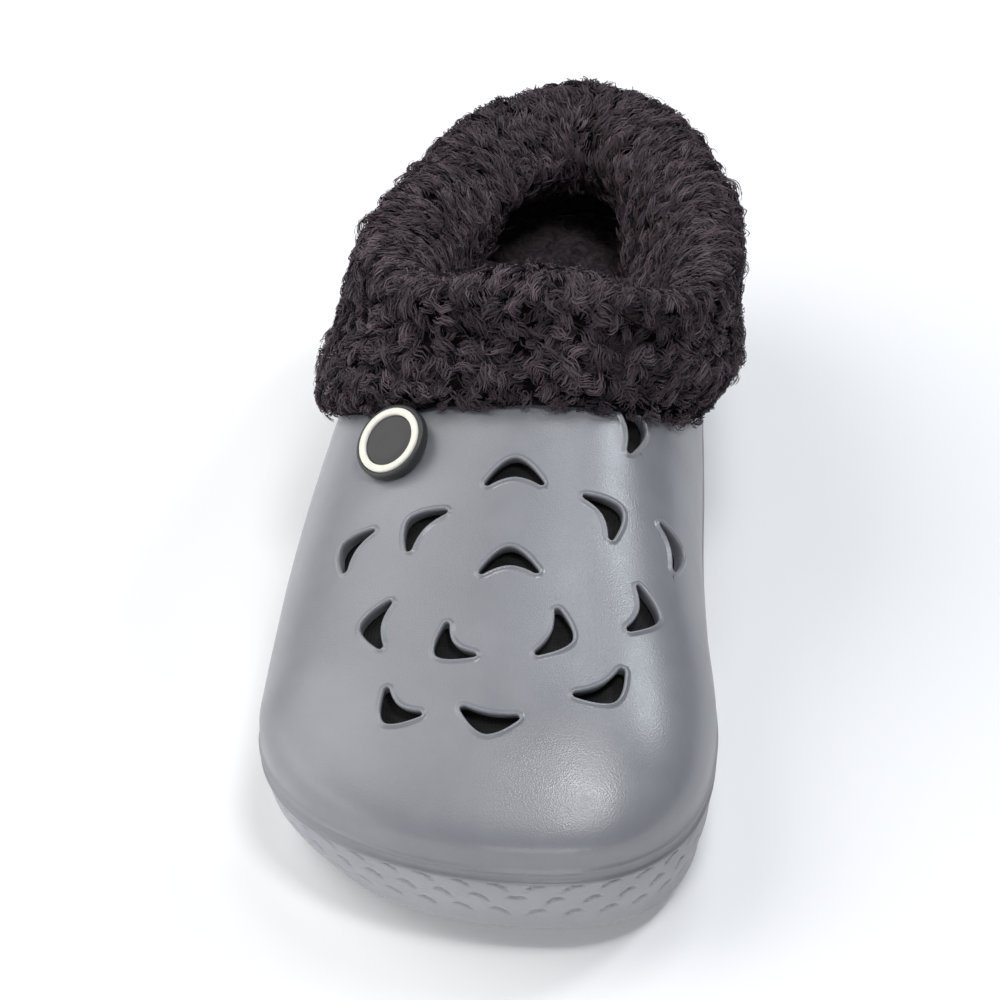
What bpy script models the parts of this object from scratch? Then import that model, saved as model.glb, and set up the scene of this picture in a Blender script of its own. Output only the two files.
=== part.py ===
"""Right shoe of a pair of fleece-lined foam clogs.

Metres, +Z up. The toe points to -Y, the medial side of the foot is +X, and the sole stands on Z = 0.
The upper's surface is a last: a plan outline, a crown line and superelliptic sections between them.
Columns run over that surface from the outline to the foot opening, and every layer follows the columns.
"""
import math
from collections import namedtuple

import bmesh
import bpy
from mathutils import Matrix, Vector, noise

MM = 0.001

# Driving dimensions
LENGTH = 268 * MM            # toe tip to heel end
TOE_CENTRE = 50 * MM         # station where the rounded toe begins
HEEL_CENTRE = 230 * MM       # station where the rounded heel begins
TOE_POWER = {-1: 2.0, 1: 2.6}   # roundness of the toe outline, lateral and medial
HEEL_POWER = 2.1             # roundness of the heel outline
WALL = 3.5 * MM              # foam wall of the upper
GAP = 0.35 * MM              # clearance between pieces that touch
UPPER_START = 8 * MM         # height of the widest line above the lip
COLUMNS = 72                 # columns round the shoe, an even number
HALF = COLUMNS // 2
HEEL_COLUMNS = 8             # columns of each side that lie round the heel
SIDE_SHARE = 0.7             # share of the foot opening's edge that lies before the heel
OUTER_ROWS = [0.0, 0.1, 0.2, 0.3, 0.41, 0.52, 0.63, 0.74, 0.84, 0.93, 1.0]
INNER_ROWS = [0.0, 0.22, 0.46, 0.73, 1.0]
SOCK_ROWS = [0.0, 0.4, 0.8]
SOCK_THICK = 5 * MM          # fleece sock with its pile
INSOLE_THICK = 6 * MM
CUFF_TUFT = 1.6 * MM         # how far the tufts stand out of the cuff
TUFT_SIZE = 7 * MM

Section = namedtuple("Section", "station lateral medial spine crown lip tread footbed tuck_lateral "
                                "tuck_medial full_lateral full_medial")
# Half widths either side of the long axis, sideways place of the crown line, heights of the crown, lip,
# underside and footbed, how far the tread's edge lies inside the outline on each side, all in millimetres,
# and the fullness of the cross section on each side, where 2 is an ellipse
SECTIONS = [
    Section(0, 54.5, 57.5, 13.0, 46.0, 26.5, 8.0, 20.0, 5.5, 5.5, 2.3, 2.3),
    Section(25, 54.8, 57.5, 9.5, 54.5, 25.0, 3.2, 18.0, 11.5, 7.0, 2.2, 2.3),
    Section(50, 55.5, 57.3, 7.0, 61.0, 24.5, 0.0, 17.5, 9.5, 6.5, 2.1, 2.3),
    Section(85, 55.0, 52.5, 5.0, 71.0, 25.0, 0.0, 17.5, 7.5, 6.5, 2.0, 2.3),
    Section(115, 53.0, 48.8, 5.0, 81.5, 26.5, 1.2, 18.5, 7.0, 7.0, 2.0, 2.4),
    Section(145, 49.0, 46.6, 6.0, 93.0, 28.0, 4.5, 20.5, 7.0, 7.0, 2.1, 2.8),
    Section(175, 44.6, 44.0, 6.0, 98.0, 30.0, 2.0, 23.0, 7.0, 7.0, 2.4, 2.8),
    Section(205, 39.2, 41.5, 6.0, 94.0, 32.0, 0.0, 25.0, 7.0, 7.0, 2.4, 2.6),
    Section(235, 35.0, 39.5, 6.0, 88.0, 33.0, 0.0, 25.5, 7.0, 7.0, 2.4, 2.4),
    Section(268, 31.5, 37.5, 6.5, 84.0, 34.0, 3.0, 26.0, 8.0, 8.0, 2.4, 2.4),
]

Cut = namedtuple("Cut", "station height")
# Height of the foot opening's edge seen from the side, in millimetres
COLLAR = [
    Cut(115, 92),
    Cut(128, 86.5),
    Cut(145, 79),
    Cut(165, 70.5),
    Cut(190, 63.5),
    Cut(225, 59.5),
    Cut(268, 58.5),
]

Gather = namedtuple("Gather", "station opening")
# How the columns before the heel gather: share of the way along the outline from the toe, and share of the
# way along the foot opening's edge from the throat
GATHER = [
    Gather(0.0, 0.0),
    Gather(0.3, 0.11),
    Gather(0.5, 0.22),
    Gather(0.62, 0.33),
    Gather(0.75, 0.5),
    Gather(0.87, 0.74),
    Gather(1.0, 1.0),
]

Band = namedtuple("Band", "station drop_lateral drop_medial out_lateral out_medial fold thick_lateral "
                          "thick_medial")
# The cuff by share of the way from throat to heel along the opening: how far it hangs below the opening's
# edge and how far the fold stands out from that edge on each side, the fold's height, and the fleece's
# thickness on each side, in millimetres
CUFF = [
    Band(0.0, 12, 12, -9, -9, 98, 8.5, 8.5),
    Band(0.07, 14.5, 13, -8.4, -7, 97, 8.8, 9.0),
    Band(0.16, 20, 15.5, -7, 0, 93.5, 9.0, 9.5),
    Band(0.3, 24, 18, -5, 6, 87.5, 9.0, 9.5),
    Band(0.51, 20, 17.5, -5, 3, 80, 7.5, 8.5),
    Band(0.75, 15, 15, -10, -6.5, 73, 7.5, 7.5),
    Band(0.9, 12, 12, -10.5, -9, 70, 7.5, 7.5),
    Band(1.0, 11, 11, -6, -6, 68.5, 7.5, 7.5),
]

Ring = namedtuple("Ring", "share rise inset tuck")
# Side of the sole: share of the height from tread to lip plus a rise, and the inset from the outline plus a
# share of the tuck, in millimetres
SOLE_RINGS = [
    Ring(0.0, 0.0, 0.0, 1.0),
    Ring(0.0, 1.3, -2.2, 1.0),
    Ring(0.3, 0.0, 0.0, 0.5),
    Ring(0.56, 0.0, 0.0, 0.24),
    Ring(0.82, 0.0, 0.4, 0.06),
    Ring(1.0, -0.9, 0.3, 0.0),
    Ring(1.0, 0.0, 2.2, 0.0),
    Ring(1.0, 1.7, 1.6, 0.0),
    Ring(1.0, 3.2, 0.5, 0.0),
]
SCALE_BANDS = [2, 3]         # rings of the sole's side that carry the raised scale marks
SCALE_MARGIN = 1.1 * MM
SCALE_RISE = 0.6 * MM

Vent = namedtuple("Vent", "across station turn span sweep")
# Crescent vents: place in plan, way the crescent's back faces (0 to the heel, 90 to the medial side), its
# width and the depth of its curve, in millimetres and degrees
VENTS = [
    Vent(4, 96, -3, 15, 7.5),
    Vent(31, 116, 72, 15, 6.5),
    Vent(-18, 83, -52, 15, 6.5),
    Vent(27, 89, 55, 14.5, 7),
    Vent(5, 71, -4, 15, 7.5),
    Vent(-35, 81.5, -58, 14, 6.5),
    Vent(43.5, 90, 62, 14, 6.5),
    Vent(-26, 55.5, -86, 15, 6.5),
    Vent(-6.5, 48, -130, 13, 7.5),
    Vent(18, 52, 106, 15, 6.5),
    Vent(38, 64.5, 95, 15.5, 7),
    Vent(-18.5, 31.5, -142, 12.5, 7),
    Vent(4, 28, -172, 15, 5.5),
    Vent(31, 39, 140, 15.5, 6.5),
]
VENT_BAND = 5.2 * MM         # width of the crescent at its middle

Badge = namedtuple("Badge", "across station radius height stem tilt")
# Place on the vamp, sizes in millimetres, and how far the hem leans the badge over, in degrees
BADGE = Badge(-26.5, 108.5, 10.0, 3.2, 3.6, 9)
BADGE_HINGE = Vector((0.89, -0.46, 0))    # direction in the seat that the badge leans about
BADGE_RING = (6.9, 8.8)      # inner and outer radius of the pale ring
BADGE_RECESS = 1.0 * MM
BADGE_CLEAR = 2.8              # free edge round the badge under the cuff, in millimetres

Groove = namedtuple("Groove", "station width depth")
# Tread grooves across the underside
GROOVES = [Groove(s, 4, 1.8) for s in (56, 68, 80, 92, 202, 216, 230, 244)]


class Curve:
    """Smooth curve through a table column that never overshoots its rows."""

    def __init__(self, rows, column, along, unit):
        self.places = [row.station * along for row in rows]
        self.values = [getattr(row, column) * unit for row in rows]
        self.steps = [b - a for a, b in zip(self.places, self.places[1:])]
        rises = [(b - a) / s for a, b, s in zip(self.values, self.values[1:], self.steps)]
        self.slopes = [rises[0]]
        for before, after in zip(rises, rises[1:]):
            turning = before * after <= 0
            self.slopes.append(0.0 if turning else 2 * before * after / (before + after))
        self.slopes.append(rises[-1])

    def at(self, place):
        place = min(max(place, self.places[0]), self.places[-1])
        i = 0
        while i < len(self.steps) - 1 and place > self.places[i + 1]:
            i += 1
        step = self.steps[i]
        t = (place - self.places[i]) / step
        start = (1 + 2 * t) * (1 - t) ** 2 * self.values[i] + t * (1 - t) ** 2 * step * self.slopes[i]
        end = t * t * (3 - 2 * t) * self.values[i + 1] + t * t * (t - 1) * step * self.slopes[i + 1]
        return start + end


last = {name: Curve(SECTIONS, name, MM, MM) for name in Section._fields[1:10]}
fullness = {-1: Curve(SECTIONS, "full_lateral", MM, 1), 1: Curve(SECTIONS, "full_medial", MM, 1)}
collar = Curve(COLLAR, "height", MM, MM)
gather = Curve(GATHER, "opening", 1, 1)
cuff = {name: Curve(CUFF, name, 1, MM) for name in Band._fields[1:]}


def half_width(side, station):
    """Distance from the crown line to the outline, before the toe and heel round it off."""
    if side < 0:
        return last["lateral"].at(station) + last["spine"].at(station)
    return last["medial"].at(station) - last["spine"].at(station)


def outline_share(across, station):
    """0 on the crown line, 1 on the outline."""
    offset = across - last["spine"].at(station)
    side = -1 if offset < 0 else 1
    ratio = abs(offset) / half_width(side, station)
    if station < TOE_CENTRE:
        end = (TOE_CENTRE - station) / TOE_CENTRE
        power = TOE_POWER[side]
    else:
        end = max(0.0, station - HEEL_CENTRE) / (LENGTH - HEEL_CENTRE)
        power = HEEL_POWER
    return (ratio ** power + end ** power) ** (1 / power)


def section_power(across, station, share):
    """Fullness of the section, blended from side to side round the toe and heel."""
    offset = across - last["spine"].at(station)
    side = -1 if offset < 0 else 1
    lean = 0.0 if share == 0 else min(1.0, abs(offset) / half_width(side, station) / share)
    near, far = fullness[side].at(station), fullness[-side].at(station)
    return near * (1 + lean) / 2 + far * (1 - lean) / 2


def surface_height(across, station):
    """Height of the upper's outer surface above a plan point."""
    base = last["lip"].at(station) + UPPER_START
    share = min(1.0, outline_share(across, station))
    power = section_power(across, station, share)
    return base + (last["crown"].at(station) - base) * (1 - share ** power) ** (1 / power)


def outline_side(side):
    """Plan points of one side of the outline from the toe tip to the start of the heel."""
    points = []
    for step in range(40):
        turn = math.pi / 2 * (1 - step / 40)
        fall = 2 / TOE_POWER[side]
        station = TOE_CENTRE * (1 - math.sin(turn) ** fall)
        across = last["spine"].at(station) + side * half_width(side, station) * math.cos(turn) ** fall
        points.append(Vector((across, station)))
    for step in range(81):
        station = TOE_CENTRE + (HEEL_CENTRE - TOE_CENTRE) * step / 80
        points.append(Vector((last["spine"].at(station) + side * half_width(side, station), station)))
    return points


def outline_heel(side):
    """Plan points of one side of the outline round the heel."""
    points = []
    for step in range(41):
        turn = math.pi / 2 * step / 40
        station = HEEL_CENTRE + (LENGTH - HEEL_CENTRE) * math.sin(turn) ** (2 / HEEL_POWER)
        ratio = max(0.0, math.cos(turn)) ** (2 / HEEL_POWER)
        across = last["spine"].at(station) + side * half_width(side, station) * ratio
        points.append(Vector((across, station)))
    return points


def throat_station():
    """Station where the crown line meets the foot opening's edge."""
    low, high = COLLAR[0].station * MM, COLLAR[2].station * MM
    for _ in range(40):
        middle = (low + high) / 2
        if last["crown"].at(middle) < collar.at(middle):
            low = middle
        else:
            high = middle
    return high


def on_collar(outer, middle):
    """Plan point between the outline and the middle where the surface reaches the opening's edge."""
    low, high = 0.0, 1.0
    for _ in range(40):
        share = (low + high) / 2
        point = middle.lerp(outer, share)
        if surface_height(point.x, point.y) > collar.at(point.y):
            low = share
        else:
            high = share
    return middle.lerp(outer, low)


def collar_side(side):
    """Plan points of one side of the foot opening from the throat to the start of the heel."""
    throat = throat_station()
    points = []
    for step in range(61):
        station = throat + (HEEL_CENTRE - throat) * (step / 60) ** 2
        middle = Vector((last["spine"].at(station), station))
        points.append(on_collar(middle + Vector((side * half_width(side, station), 0)), middle))
    return points


def spread(points, wanted_shares):
    """Points along a line of points at the given shares of its length."""
    lengths = [0.0]
    for a, b in zip(points, points[1:]):
        lengths.append(lengths[-1] + (b - a).length)
    out = []
    for share in wanted_shares:
        wanted = lengths[-1] * share
        i = 0
        while i < len(points) - 2 and lengths[i + 1] < wanted:
            i += 1
        out.append(points[i].lerp(points[i + 1], (wanted - lengths[i]) / (lengths[i + 1] - lengths[i])))
    return out


def even(count):
    return [k / count for k in range(count + 1)]


def outline_half(side):
    """Outline points of one side's columns from toe to heel."""
    along = spread(outline_side(side), even(HALF - HEEL_COLUMNS))
    return along[:-1] + spread(outline_heel(side), even(HEEL_COLUMNS))


def opening_half(side):
    """Foot opening points of one side's columns from throat to heel."""
    shares_along = [gather.at(share) for share in even(HALF - HEEL_COLUMNS)]
    along = spread(collar_side(side), shares_along)
    middle = Vector((last["spine"].at(HEEL_CENTRE), HEEL_CENTRE))
    return along[:-1] + [on_collar(p, middle) for p in spread(outline_heel(side), even(HEEL_COLUMNS))]


def loop_from_sides(make):
    """A closed ring of plan points: toe, lateral side, heel, medial side."""
    return make(-1) + make(1)[-2:0:-1]


def plan_normals(ring):
    """Outward plan normals of a ring that runs from the toe round the lateral side."""
    normals = []
    for k in range(COLUMNS):
        run = ring[(k + 1) % COLUMNS] - ring[k - 1]
        normals.append(Vector((-run.y, run.x)).normalized())
    return normals


outline = loop_from_sides(outline_half)
opening = loop_from_sides(opening_half)
outline_normals = plan_normals(outline)
opening_normals = plan_normals(opening)
side_shares = [SIDE_SHARE * gather.at(share) for share in even(HALF - HEEL_COLUMNS)]
heel_shares = [SIDE_SHARE + (1 - SIDE_SHARE) * share for share in even(HEEL_COLUMNS)]
half_shares = side_shares + heel_shares[1:]
shares = half_shares + half_shares[-2:0:-1]


def raise_plan(plan, height):
    return Vector((plan.x, plan.y, height))


def column_point(k, t):
    """Point of the outer surface on column k, from the outline (0) to the foot opening (1)."""
    start, end = outline[k], opening[k]
    share = min(1.0, outline_share(end.x, end.y))
    fall = 2 / section_power(end.x, end.y, share)
    arc = math.acos(share ** (1 / fall))
    along = (1 - math.cos(arc * t) ** fall) / (1 - max(0.0, math.cos(arc)) ** fall)
    plan = start.lerp(end, along)
    return raise_plan(plan, surface_height(plan.x, plan.y))


def surface_row(t):
    return [column_point(k, t) for k in range(COLUMNS)]


def surface_normals(t):
    """Outward normals of the outer surface along a row."""
    below = surface_row(max(0.0, t - 0.02))
    above = surface_row(min(1.0, t + 0.02))
    row = surface_row(t)
    normals = []
    for k in range(COLUMNS):
        round_shoe = row[(k + 1) % COLUMNS] - row[k - 1]
        normals.append((above[k] - below[k]).cross(round_shoe).normalized())
    return normals


def layer(t, depth):
    """A ring that lies a given depth under the outer surface, or over it where the depth is negative."""
    return [p - n * depth for p, n in zip(surface_row(t), surface_normals(t))]


def sided(name, k):
    """Name of the table column for the side that column k lies on."""
    return name + ("_lateral" if k < HALF else "_medial")


def side_ring(base, rise, inset):
    """A ring round the inside of the sole, above a level of the last and inset from the outline."""
    ring = []
    for plan, normal in zip(outline, outline_normals):
        level = last[base].at(plan.y)
        ring.append(raise_plan(plan - normal * inset * MM, level + rise * MM))
    return ring


def sole_ring(row):
    """A ring round the outside of the sole."""
    ring = []
    for k, (plan, normal) in enumerate(zip(outline, outline_normals)):
        tread, lip = last["tread"].at(plan.y), last["lip"].at(plan.y)
        level = tread + row.share * (lip - tread) + row.rise * MM
        inset = row.inset * MM + row.tuck * last[sided("tuck", k)].at(plan.y)
        ring.append(raise_plan(plan - normal * inset, level))
    return ring


def skin(mesh, rings, closed):
    """Faces between successive rings, and between the last and the first where the body is a tube."""
    loops = [[mesh.verts.new(p) for p in ring] for ring in rings]
    pairs = list(zip(loops, loops[1:]))
    if closed:
        pairs.append((loops[-1], loops[0]))
    bands = []
    for lower, upper in pairs:
        band = []
        for k in range(COLUMNS):
            after = (k + 1) % COLUMNS
            band.append(mesh.faces.new((lower[k], lower[after], upper[after], upper[k])))
        bands.append(band)
    return loops, bands


def cap(mesh, loop):
    """Faces across a ring from the lateral side to the medial side."""
    for k in range(HALF):
        corners = [loop[k], loop[k + 1], loop[-k - 1], loop[-k % COLUMNS]]
        mesh.faces.new(list(dict.fromkeys(corners)))


def finish(name, mesh, material, collection):
    """A named object from the mesh, facing out."""
    bmesh.ops.recalc_face_normals(mesh, faces=mesh.faces[:])
    if mesh.calc_volume(signed=True) < 0:
        bmesh.ops.reverse_faces(mesh, faces=mesh.faces[:])
    data = bpy.data.meshes.new(name)
    mesh.to_mesh(data)
    mesh.free()
    piece = bpy.data.objects.new(name, data)
    if material is not None:
        data.materials.append(material)
    collection.objects.link(piece)
    return piece


def material(name, colour, roughness):
    made = bpy.data.materials.new(name)
    made.use_nodes = True
    shader = made.node_tree.nodes["Principled BSDF"]
    shader.inputs["Base Color"].default_value = (*colour, 1)
    shader.inputs["Roughness"].default_value = roughness
    return made


def seat_frame(across, station):
    """Origin on the outer surface and the axes across, up the vamp and out of the surface."""
    step = 0.5 * MM
    centre = Vector((across, station, surface_height(across, station)))
    slope_x = surface_height(across + step, station) - surface_height(across - step, station)
    slope_y = surface_height(across, station + step) - surface_height(across, station - step)
    out = Vector((-slope_x, -slope_y, 2 * step)).normalized()
    up = Vector((0, 2 * step, slope_y))
    up = (up - out * up.dot(out)).normalized()
    frame = Matrix((up.cross(out), up, out)).transposed().to_4x4()
    return Matrix.Translation(centre) @ frame


def badge_frame():
    """Seat of the badge, leant towards the toe and the lateral side."""
    seat = seat_frame(BADGE.across * MM, BADGE.station * MM)
    return seat @ Matrix.Rotation(math.radians(BADGE.tilt), 4, BADGE_HINGE)


def crescent(span, sweep):
    """Outline of a crescent whose back faces +Y, with rounded tips."""
    half = span / 2
    apex = 0.68 * sweep
    back = [(x, apex - sweep * abs(x / half) ** 1.7) for x in (-half + span * i / 8 for i in range(9))]
    belly = []
    for i in range(1, 7):
        x = half * 0.86 - 1.72 * half * (i - 0.5) / 6
        belly.append((x, apex - VENT_BAND - (sweep - VENT_BAND + 0.9 * MM) * abs(x / half) ** 1.8))
    return [Vector((x, y, 0)) for x, y in back + belly]


def prism(mesh, outline_points, place, low, high):
    """A straight bar with the given outline between two levels of its own frame."""
    bottom = [mesh.verts.new(place @ (p + Vector((0, 0, low)))) for p in outline_points]
    base = mesh.faces.new(bottom)
    lifted = bmesh.ops.extrude_face_region(mesh, geom=[base])
    raised = [v for v in lifted["geom"] if isinstance(v, bmesh.types.BMVert)]
    bmesh.ops.translate(mesh, verts=raised, vec=place.to_3x3() @ Vector((0, 0, high - low)))


def build_vent_cutter(collection):
    """Bars through the upper for the vents and for the badge's stem."""
    mesh = bmesh.new()
    for vent in VENTS:
        turn = Matrix.Rotation(math.radians(-vent.turn), 4, "Z")
        place = seat_frame(vent.across * MM, vent.station * MM) @ turn
        prism(mesh, crescent(vent.span * MM, vent.sweep * MM), place, -9 * MM, 9 * MM)
    bore = BADGE.stem * MM + GAP
    place = badge_frame()
    circle = [Vector((bore * math.cos(a), bore * math.sin(a), 0)) for a in
              (math.tau * i / 20 for i in range(20))]
    prism(mesh, circle, place, -9 * MM, 9 * MM)
    return finish("vent_cutter", mesh, None, collection)


def build_tread_cutter(collection):
    """Bars across the underside that leave lugs between them."""
    mesh = bmesh.new()
    for groove in GROOVES:
        box = bmesh.ops.create_cube(mesh, size=1)
        size = Matrix.Diagonal((2 * LENGTH, groove.width * MM, 2 * groove.depth * MM, 1))
        place = Matrix.Translation((0, groove.station * MM, 0))
        bmesh.ops.transform(mesh, matrix=place @ size, verts=box["verts"])
    return finish("tread_cutter", mesh, None, collection)


def build_shell(collection, cutters, foam):
    """Upper, footbed and sole in one moulding."""
    mesh = bmesh.new()
    rings = []
    for row in SOLE_RINGS:
        rings.append(sole_ring(row))
    for t in OUTER_ROWS:
        rings.append(layer(t, 0.0))
    edge = []
    for outer, inner, under in zip(layer(1.0, 0.0), layer(1.0, WALL), layer(0.97, WALL / 2)):
        middle = (outer + inner) / 2
        edge.append(middle + (middle - under).normalized() * 1.2 * MM)
    rings.append(edge)
    for t in reversed(INNER_ROWS):
        rings.append(layer(t, WALL))
    rings.append(side_ring("footbed", 5.0, 5.5))
    rings.append(side_ring("footbed", 0.0, 9.0))
    loops, bands = skin(mesh, rings, False)
    cap(mesh, loops[0])
    cap(mesh, loops[-1])
    bmesh.ops.recalc_face_normals(mesh, faces=mesh.faces[:])
    marks = [bands[b][k] for b in SCALE_BANDS for k in range(COLUMNS) if (k + b) % 2]
    bmesh.ops.inset_individual(mesh, faces=marks, thickness=SCALE_MARGIN, depth=SCALE_RISE)
    shell = finish("moulded_upper_and_sole", mesh, foam, collection)
    for name, cutter in cutters.items():
        cut = shell.modifiers.new(name, "BOOLEAN")
        cut.operation = "DIFFERENCE"
        cut.solver = "EXACT"
        cut.object = cutter
    return shell


def fold_ring(out, up):
    """A ring beside the top of the sock: out from its middle, and up from its top edge."""
    ring = []
    for k in range(COLUMNS):
        reach = cuff[sided("out", k)].at(shares[k]) + out * MM
        height = cuff["fold"].at(shares[k]) + up * MM
        ring.append(raise_plan(opening[k] + opening_normals[k] * reach, height))
    return ring


def build_sock(collection, fleece):
    """The fleece sock inside the foam, from the insole's edge up to the cuff's fold."""
    mesh = bmesh.new()
    half = SOCK_THICK / MM / 2
    outside = WALL + GAP
    inside = outside + SOCK_THICK
    gap = GAP / MM
    rings = [side_ring("footbed", gap, 9.0 + gap), side_ring("footbed", 5.0 + gap, 5.5 + gap)]
    for t in INNER_ROWS:
        rings.append(layer(t, outside))
    rings.append(fold_ring(half, 0.0))
    rings.append(fold_ring(-half, 0.0))
    for t in reversed(SOCK_ROWS):
        rings.append(layer(t, inside))
    rings.append(side_ring("footbed", 9.0, 10.6))
    rings.append(side_ring("footbed", gap, 13.4))
    skin(mesh, rings, True)
    return finish("liner_sock", mesh, fleece, collection)


def build_insole(collection, fleece):
    """The insole inside the sock's lower edge."""
    mesh = bmesh.new()
    gap = GAP / MM
    top = gap + INSOLE_THICK / MM
    rings = [
        side_ring("footbed", gap, 13.4 + gap),
        side_ring("footbed", top - 2.0, 13.4 + gap),
        side_ring("footbed", top, 15.6 + gap),
    ]
    loops, _ = skin(mesh, rings, False)
    cap(mesh, loops[0])
    cap(mesh, loops[-1])
    return finish("liner_insole", mesh, fleece, collection)


def drop_ring(more, depth):
    """A ring over the upper at the cuff's drop from the foot opening's edge, kept clear of the badge."""
    ring = []
    badge = seat_frame(BADGE.across * MM, BADGE.station * MM).translation
    keep = (BADGE.radius + BADGE_CLEAR) * MM
    for k in range(COLUMNS):
        wanted = cuff[sided("drop", k)].at(shares[k]) * more[0] + more[1] * MM
        run, t = 0.0, 1.0
        point = column_point(k, t)
        while run < wanted and t > 0.01:
            t -= 0.01
            further = column_point(k, t)
            if (further - badge).length < keep:
                break
            run += (further - point).length
            point = further
        ring.append(layer_point(k, t, depth))
    return ring


def layer_point(k, t, depth):
    """One point under (or, with a negative depth, over) the outer surface."""
    before, after = column_point(k - 1, t), column_point((k + 1) % COLUMNS, t)
    below, above = column_point(k, max(0.0, t - 0.02)), column_point(k, min(1.0, t + 0.02))
    normal = (above - below).cross(after - before).normalized()
    return column_point(k, t) - normal * depth


def tufted(ring, body):
    """The ring pushed out from, or drawn in to, the body's middle line, lock by lock."""
    out = []
    for point, core in zip(ring, body):
        lock = noise.noise(point / TUFT_SIZE)
        out.append(point + (point - core).normalized() * lock * 1.5 * CUFF_TUFT)
    return out


def build_cuff(collection, fleece):
    """The turned-down fleece band: over the sock's top edge, then down outside the upper."""
    mesh = bmesh.new()
    gap = GAP / MM
    half = SOCK_THICK / MM / 2
    thick = [cuff[sided("thick", k)].at(shares[k]) for k in range(COLUMNS)]
    under_edge = fold_ring(half + gap, gap)
    core = fold_ring(2.0, 2.0)
    roll = [(-half - 3.0, 1.5), (-half - 2.6, 5.5), (0.0, 8.6), (5.0, 8.2), (9.0, 4.0)]
    rings = [fold_ring(-half, gap)]
    for out, up in roll:
        rings.append(tufted(fold_ring(out, up), core))
    edge = layer(1.0, 0.0)
    edge_normals = surface_normals(1.0)
    shoulder = [p + n * d for p, n, d in zip(edge, edge_normals, thick)]
    rings.append(tufted(shoulder, edge))
    middle = drop_ring((0.55, 0.0), 0.0)
    middle_out = [(p - q).normalized() * d + q for p, q, d in
                  zip(drop_ring((0.55, 0.0), -1 * MM), middle, thick)]
    rings.append(tufted(middle_out, middle))
    hem = drop_ring((1.0, 0.0), 0.0)
    hem_out = [(p - q).normalized() * d * 0.85 + q for p, q, d in
               zip(drop_ring((1.0, 0.0), -1 * MM), hem, thick)]
    rings.append(tufted(hem_out, hem))
    rings.append(drop_ring((1.0, 3.0), -2.5 * MM))
    rings.append(drop_ring((1.0, 1.0), -GAP))
    rings.append(drop_ring((0.66, 0.0), -GAP))
    rings.append(drop_ring((0.33, 0.0), -GAP))
    rings.append(layer(1.0, -GAP))
    above = []
    for point, normal, under in zip(edge, edge_normals, layer(0.97, 0.0)):
        above.append(point - normal * WALL / 2 + (point - under).normalized() * 2.0 * MM)
    rings.append(above)
    rings.append(under_edge)
    skin(mesh, rings, True)
    return finish("fleece_cuff", mesh, fleece, collection)


def turned(mesh, profile, place, steps):
    """A solid of revolution about the frame's Z axis from (radius, height) pairs."""
    verts = [mesh.verts.new((r * MM, 0, h * MM)) for r, h in profile]
    edges = [mesh.edges.new(pair) for pair in zip(verts, verts[1:])]
    bmesh.ops.spin(mesh, geom=verts + edges, cent=(0, 0, 0), axis=(0, 0, 1), angle=math.tau, steps=steps,
                   use_merge=True)
    bmesh.ops.remove_doubles(mesh, verts=mesh.verts[:], dist=0.02 * MM)
    bmesh.ops.transform(mesh, matrix=place, verts=mesh.verts[:])


def build_badge(collection, dark, pale):
    """The stud with its stem in the bore, and the ring in the face's channel."""
    place = badge_frame()
    r, top = BADGE.radius, BADGE.height + 1.4
    seat = 1.4
    inner, outer = BADGE_RING
    floor = top - BADGE_RECESS / MM
    gap = GAP / MM
    profile = [(0, -3.0), (BADGE.stem, -3.0), (BADGE.stem, seat), (r - 0.8, seat), (r, seat + 0.8),
               (r, top - 0.8), (r - 0.5, top), (outer + gap, top), (outer + gap, floor),
               (inner - gap, floor), (inner - gap, top), (inner - 1.2, top - 0.5), (0, top - 0.5)]
    mesh = bmesh.new()
    turned(mesh, profile, place, 24)
    cap_piece = finish("badge_cap", mesh, dark, collection)
    mesh = bmesh.new()
    low, high = floor + gap, top + 0.5
    profile = [(inner, low), (outer, low), (outer, high - 0.3), (outer - 0.4, high), (inner + 0.4, high),
               (inner, high - 0.3), (inner, low)]
    turned(mesh, profile, place, 24)
    ring_piece = finish("badge_ring", mesh, pale, collection)
    return [cap_piece, ring_piece]


def centre_all(pieces):
    """Puts the middle of the whole shoe's plan box on the Z axis."""
    corners = [v.co for piece in pieces if piece.name not in bpy.data.collections["cutters"].objects
               for v in piece.data.vertices]
    middle = Vector([(min(c[i] for c in corners) + max(c[i] for c in corners)) / 2 for i in range(2)])
    for piece in pieces:
        piece.data.transform(Matrix.Translation((-middle.x, -middle.y, 0)))


def main():
    for thing in list(bpy.data.objects):
        bpy.data.objects.remove(thing)
    parts = bpy.data.collections.new("fleece_lined_clog")
    cutters = bpy.data.collections.new("cutters")
    for collection in (parts, cutters):
        bpy.context.scene.collection.children.link(collection)
    foam = material("grey_blue_foam", (0.30, 0.32, 0.36), 0.5)
    pile = material("dark_pile", (0.025, 0.02, 0.022), 0.95)
    lining = material("dark_lining", (0.03, 0.025, 0.028), 0.95)
    sole_felt = material("insole_pile", (0.028, 0.023, 0.025), 0.95)
    dark = material("dark_plastic", (0.04, 0.04, 0.045), 0.45)
    pale = material("pale_plastic", (0.8, 0.78, 0.7), 0.5)
    cuts = {"vents": build_vent_cutter(cutters), "tread": build_tread_cutter(cutters)}
    for cutter in cuts.values():
        cutter.hide_render = True
        cutter.display_type = "WIRE"
    pieces = list(cuts.values())
    pieces.append(build_shell(parts, cuts, foam))
    pieces.append(build_sock(parts, lining))
    pieces.append(build_insole(parts, sole_felt))
    pieces.append(build_cuff(parts, pile))
    pieces += build_badge(parts, dark, pale)
    centre_all(pieces)


main()
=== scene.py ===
import math
import bmesh
import bpy
import numpy as np
from mathutils import Matrix, Vector


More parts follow.
